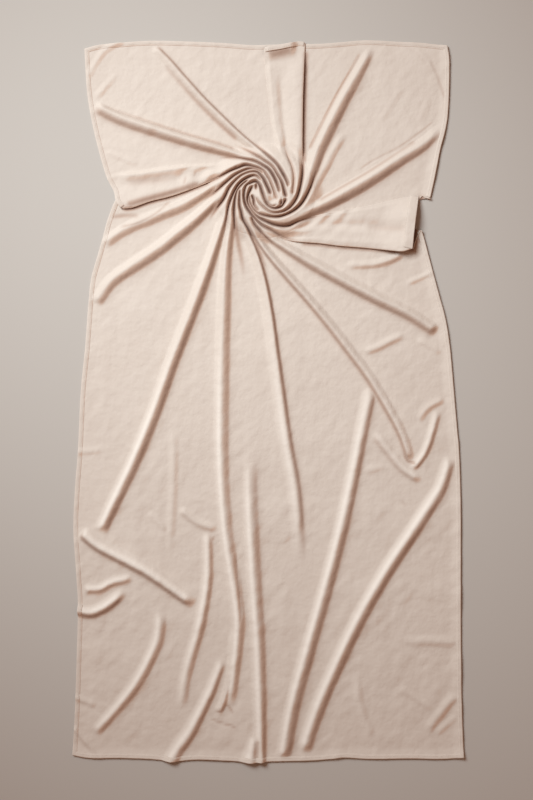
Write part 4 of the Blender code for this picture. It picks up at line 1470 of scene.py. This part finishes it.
class Hem:
    """The finished edge along one stretch of cloth."""

    STEP = 1.5  # squares from one section to the next
    LOWEST = 0.15  # mm that it stays over the floor
    STITCH = (0.0024, 0.00025)  # length and half thickness of a stitch, in metres
    STITCH_STEP = 4.2  # mm from one stitch to the next
    STITCH_IN = 5.6  # mm from the edge
    STITCH_UP = 1.08  # mm from the top of a single layer to the middle of a stitch

    def __init__(self, name: str, nodes: tuple[str, ...], line: Line, lay: Callable[[Points], Lay],
                 kind: HemKind = HemKind.NARROW) -> None:
        """Keeps what the hem is made from.

        Args:
            name: Name of the piece.
            nodes: CAD nodes it replaces.
            line: Edge on the grid, with the cloth on its right.
            lay: How the cloth lies along it.
            kind: How the edge is finished.
        """
        self.name, self.nodes, self.lay, self.section = name, nodes, lay, kind.value
        self.path = Path(line, self.STEP)

    def build(self) -> Part:
        """Builds the hem.

        Returns:
            The hem.
        """
        sec = self.section
        ring = [*zip(sec.inwards, sec.up)]
        ring.append(ring[0])
        rows = []
        for inwards, up in ring:
            lay = self.lay(self.path.beside(inwards * MM / GRID).points)
            lay.z = np.maximum(lay.z + up, self.LOWEST)
            rows.append(lay.spots())
        spots = np.stack(rows)
        obj = Rows(spots, np.zeros(spots.shape[:2])).mesh(self.name)
        self.close(obj)
        return Part(obj, self.nodes)

    @staticmethod
    def close(obj: bpy.types.Object) -> None:
        """Joins the section's first and last line and closes both ends.

        Args:
            obj: The hem.
        """
        bm = bmesh.new()
        bm.from_mesh(obj.data)
        bmesh.ops.remove_doubles(bm, verts=bm.verts, dist=1e-6)
        bmesh.ops.holes_fill(bm, edges=[e for e in bm.edges if e.is_boundary], sides=0)
        bmesh.ops.recalc_face_normals(bm, faces=bm.faces)
        bm.to_mesh(obj.data)
        bm.free()

    def stitches(self) -> bpy.types.Object:
        """Builds the row of stitches on the hem.

        Returns:
            The stitches as one object.
        """
        line = self.path.beside(self.STITCH_IN * MM / GRID)
        count = int(line.length * GRID / (self.STITCH_STEP * MM))
        lay = self.lay(line.at((np.arange(count) + 0.5) / count))
        lay.z = lay.z + self.STITCH_UP
        spots = lay.spots()
        ways = np.gradient(spots, axis=0)
        bm = bmesh.new()
        length, half = self.STITCH
        for spot, way in zip(spots, ways):
            turn = Vector(way).to_track_quat("Z", "Y").to_matrix().to_4x4()
            turn.translation = Vector(spot)
            bmesh.ops.create_cone(bm, cap_ends=True, segments=5, radius1=half, radius2=half, depth=length,
                                  matrix=turn)
        name = self.name + "_stitches"
        return place(name, to_mesh(name, bm))


# --------------------------------------------------------------------------------------- the whole
# heights in mm of what shows on the pleats
TOP_LIP, TOP_SHOULDER, TOP_EDGE = 7.5, 3.0, 4.6
RIGHT_LOFT, RIGHT_BAND, RIGHT_PUCKER, RIGHT_RIDGE, RIGHT_DROP = 15.0, 0.9, 1.25, 1.4, 1.6
VALLEY = 3.2


@dataclass(frozen=True)
class HijabSizes:
    """Sizes of the cut and of the meshes.

    Attributes:
        lower: Mesh of the lower panel.
        upper_left: Mesh of the upper left panel.
        upper_right: Mesh of the upper right panel.
        top_pleat: Sizes of the top pleat.
        right_pleat: Sizes of the right pleat.
    """

    lower: PanelSizes = PanelSizes(columns=300, rows=318, bunch=1.18)
    upper_left: PanelSizes = PanelSizes(columns=210, rows=190)
    upper_right: PanelSizes = PanelSizes(columns=190, rows=200)
    top_pleat: PleatSizes = PleatSizes(rise=4.0, curl=1.8, along=150, across=44)
    right_pleat: PleatSizes = PleatSizes(rise=5.2, curl=2.0, along=160, across=50)


class Hijab:
    """The whole hijab."""

    def __init__(self, sizes: HijabSizes) -> None:
        """Keeps the sizes.

        Args:
            sizes: Sizes of its meshes.
        """
        self.sizes = sizes
        self.form = ClothForm()
        self.parts: dict[str, Part] = {}
        self.hems: dict[str, list[str]] = {}

    def build(self) -> None:
        """Builds panels, pleats and rosette, then the hems on them."""
        z, s = self.form, self.sizes
        left = UpperLeftPanel(z, s.upper_left)
        top = Pleat("pleat_top_cloth", "pleat_top", z, s.top_pleat, TOP_BRIGHT, TOP_CRISP, self.top_surface)
        right = Pleat("pleat_right_cloth", "pleat_right", z, s.right_pleat, RIGHT_SOFT[:-1], RIGHT_FOLD,
                      self.right_surface)
        upper_right = UpperRightPanel(z, s.upper_right)
        for maker in (LowerPanel(z, s.lower), left, upper_right, top, right, Rosette(z)):
            part = maker.build()
            self.parts[part.obj.name] = part
            LOG.info("built %s with %d faces", part.obj.name, len(part.obj.data.polygons))

        pleat_end = [(418.5, 197.0), (417, 205), (414.7, 220), (413, 234), (411.8, 247), (411.2, 250.2)]
        hems = [
            ("panel_lower_cloth", "hem_right_lower", EDGES["right_lower"], z.lay),
            ("panel_lower_cloth", "hem_bottom", EDGES["bottom"], z.lay),
            ("panel_lower_cloth", "hem_left_lower", EDGES["left_lower"], z.lay),
            ("panel_upper_left_cloth", "hem_left_upper", EDGES["left_upper"], left.lay),
            ("panel_upper_left_cloth", "hem_top_left", EDGES["top_left"], z.lay),
            ("panel_upper_right_cloth", "hem_top_right", EDGES["top_right"], z.lay),
            ("panel_upper_right_cloth", "hem_right_upper", EDGES["right_upper"], z.lay),
            ("pleat_top_cloth", "hem_pleat_top", EDGES["pleat_top"], top.end_lay),
            ("pleat_right_cloth", "hem_pleat_right", pleat_end, right.end_lay),
        ]
        nodes = {"hem_left_upper": ("hem_left_upper", "hem_pleat_left")}
        for cloth, name, line, lay in hems:
            kind = HemKind.WIDE if name == "hem_pleat_right" else HemKind.NARROW
            hem = Hem(name + "_turned", nodes.get(name, (name,)), line, lay, kind)
            part = hem.build()
            self.parts[part.obj.name] = part
            thread = hem.stitches()
            self.parts[thread.name] = Part(thread, ())
            self.hems.setdefault(cloth, []).extend([part.obj.name, thread.name])
        rolled = [
            ("panel_upper_right_cloth", "notch_rolled",
             [(417.6, 205), (418.6, 199.8), (420.6, 196.2), (423, 195.4), (425, 197.2), (430.4, 198.6)]),
            ("panel_lower_cloth", "loop_rolled",
             [(412.4, 249), (413.9, 244), (415.8, 238.5), (418, 233.2), (420.6, 230.2), (422.6, 232.4)]),
        ]
        for cloth, name, line in rolled:
            part = Hem(name, (), line, z.lay, HemKind.ROLLED).build()
            self.parts[part.obj.name] = part
            self.hems[cloth].append(part.obj.name)

    @staticmethod
    def top_surface(across: np.ndarray, along: np.ndarray) -> np.ndarray:
        """Top pleat: a lip that stands up at its hem, a soft valley and a raised right edge.

        Each line below is one of these: its height, then where it lies across and along the pleat.

        Args:
            across: Share across.
            along: Share along.

        Returns:
            Extra height in mm.
        """
        lip = TOP_LIP * smooth(across / 0.2 + 0.5) * smooth((0.84 - across) / 0.2) * smooth(1.0 - along / 0.11)
        valley = VALLEY * bell(across - 0.1 * along, 0.36, 0.12) * smooth((along - 0.12) / 0.2)
        shoulder = TOP_SHOULDER * (1.0 - smooth(across / 0.12)) * smooth((along - 0.02) / 0.1)
        edge = TOP_EDGE * smooth((across - 0.5) / 0.4) * smooth((along - 0.04) / 0.14)
        return lip + edge - valley - shoulder

    @staticmethod
    def right_surface(across: np.ndarray, along: np.ndarray) -> np.ndarray:
        """Right pleat: its free end stands up with a turned band, a valley and slight puckers run along it.

        Each line below is one of these: its height, then where it lies across and along the pleat.

        Args:
            across: Share across.
            along: Share along.

        Returns:
            Extra height in mm.
        """
        loft = RIGHT_LOFT * smooth((0.28 - along) / 0.26) * smooth((across + 0.10) / 0.5)
        band = RIGHT_BAND * smooth((0.115 - 0.02 * across - along) / 0.03) * smooth(across / 0.5)
        valley = VALLEY * bell(across + 0.30 * along, 0.60, 0.12) * smooth((0.80 - along) / 0.3)
        pucker = RIGHT_PUCKER * (1 - across) * np.sin(46.0 * along - 5.9 * across + 0.26)
        edge = RIGHT_RIDGE * bell(across, 0.90, 0.09) - RIGHT_DROP * (1.0 - smooth(across / 0.10))
        return loft + band - valley * smooth(along / 0.1 + 0.3) + pucker * smooth((along - 0.38) / 0.2) + edge

    def dress(self, cloth: bpy.types.Material, thread: bpy.types.Material) -> None:
        """Gives every part its material and ties it to the CAD.

        Args:
            cloth: Material of the cloth.
            thread: Material of the stitches.
        """
        for name, part in self.parts.items():
            part.obj.data.materials.append(thread if name.endswith("_stitches") else cloth)
            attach(part.obj, "root")
            if part.nodes:
                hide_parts(*part.nodes)


# --------------------------------------------------------------------------------------- studio
@dataclass(frozen=True)
class StudioSizes:
    """Sizes and strengths of the studio.

    Attributes:
        lens: Focal length in mm.
        sensor: Width of the camera's sensor in mm.
        camera_over: Grid point under the camera.
        camera_height: Height of the camera in metres.
        floor: Half width of the floor in metres.
        key_at: Position of the soft key light.
        key_to: Point that the key light is aimed at.
        key_radius: Radius of the soft key light in metres.
        key_cone: Full angle of its beam in degrees, faded to its edge.
        key_power: Power of the key light in watts.
        key_color: Linear colour of the key light.
        fill: Strength of the even light from all round.
        fill_color: Linear colour of that light.
    """

    lens: float = 67.5
    sensor: float = 36.0
    camera_over: tuple[float, float] = (266.5, 400.0)
    camera_height: float = 3.0
    floor: float = 6.0
    key_at: tuple[float, float, float] = (-1.46, 1.62, 2.60)
    key_to: tuple[float, float, float] = (-0.10, 0.28, 0.0)
    key_radius: float = 0.95
    key_cone: float = 55.0
    key_power: float = 628.0
    key_color: tuple[float, float, float] = (0.825, 0.938, 1.0)
    fill: float = 0.278
    fill_color: tuple[float, float, float] = (1.0, 0.575, 0.395)


class Studio:
    """Floor, light and camera."""

    def __init__(self, sizes: StudioSizes) -> None:
        """Keeps the sizes.

        Args:
            sizes: Sizes and strengths.
        """
        self.sizes = sizes

    def build(self) -> None:
        """Builds the studio."""
        s, scene = self.sizes, bpy.context.scene
        bm = bmesh.new()
        bmesh.ops.create_grid(bm, x_segments=2, y_segments=2, size=s.floor)
        floor = place("floor", to_mesh("floor", bm))
        floor.data.materials.append(FloorFinish().build())

        key = bpy.data.lights.new("key", "SPOT")
        key.energy, key.color = s.key_power, s.key_color
        key.shadow_soft_size, key.spot_size, key.spot_blend = s.key_radius, math.radians(s.key_cone), 1.0
        lamp = place("key", key)
        lamp.location = s.key_at
        lamp.rotation_euler = (Vector(s.key_to) - Vector(s.key_at)).to_track_quat("-Z", "Y").to_euler()

        world_light = bpy.data.worlds.new("studio")
        world_light.use_nodes = True
        back = world_light.node_tree.nodes["Background"]
        back.inputs["Color"].default_value = (*s.fill_color, 1.0)
        back.inputs["Strength"].default_value = s.fill
        scene.world = world_light

        lens = bpy.data.cameras.new("camera")
        lens.lens, lens.sensor_width = s.lens, s.sensor
        x, y = s.camera_over
        scene.camera = place("camera", lens)
        scene.camera.location = ((x - GRID_ORIGIN[0]) * GRID, (GRID_ORIGIN[1] - y) * GRID, s.camera_height)
        scene.view_settings.view_transform = "Standard"


def main() -> None:
    """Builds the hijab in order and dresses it."""
    logging.basicConfig(level=logging.INFO, format="%(name)s: %(message)s")
    hijab = Hijab(HijabSizes())
    hijab.build()
    thread = JerseyFinish(name="thread", color=(0.74, 0.64, 0.56), shade=(0.68, 0.58, 0.50))
    hijab.dress(JerseyFinish().build(), thread.build())
    Studio(StudioSizes()).build()
    bpy.context.view_layer.update()


if __name__ == "__main__":
    main()
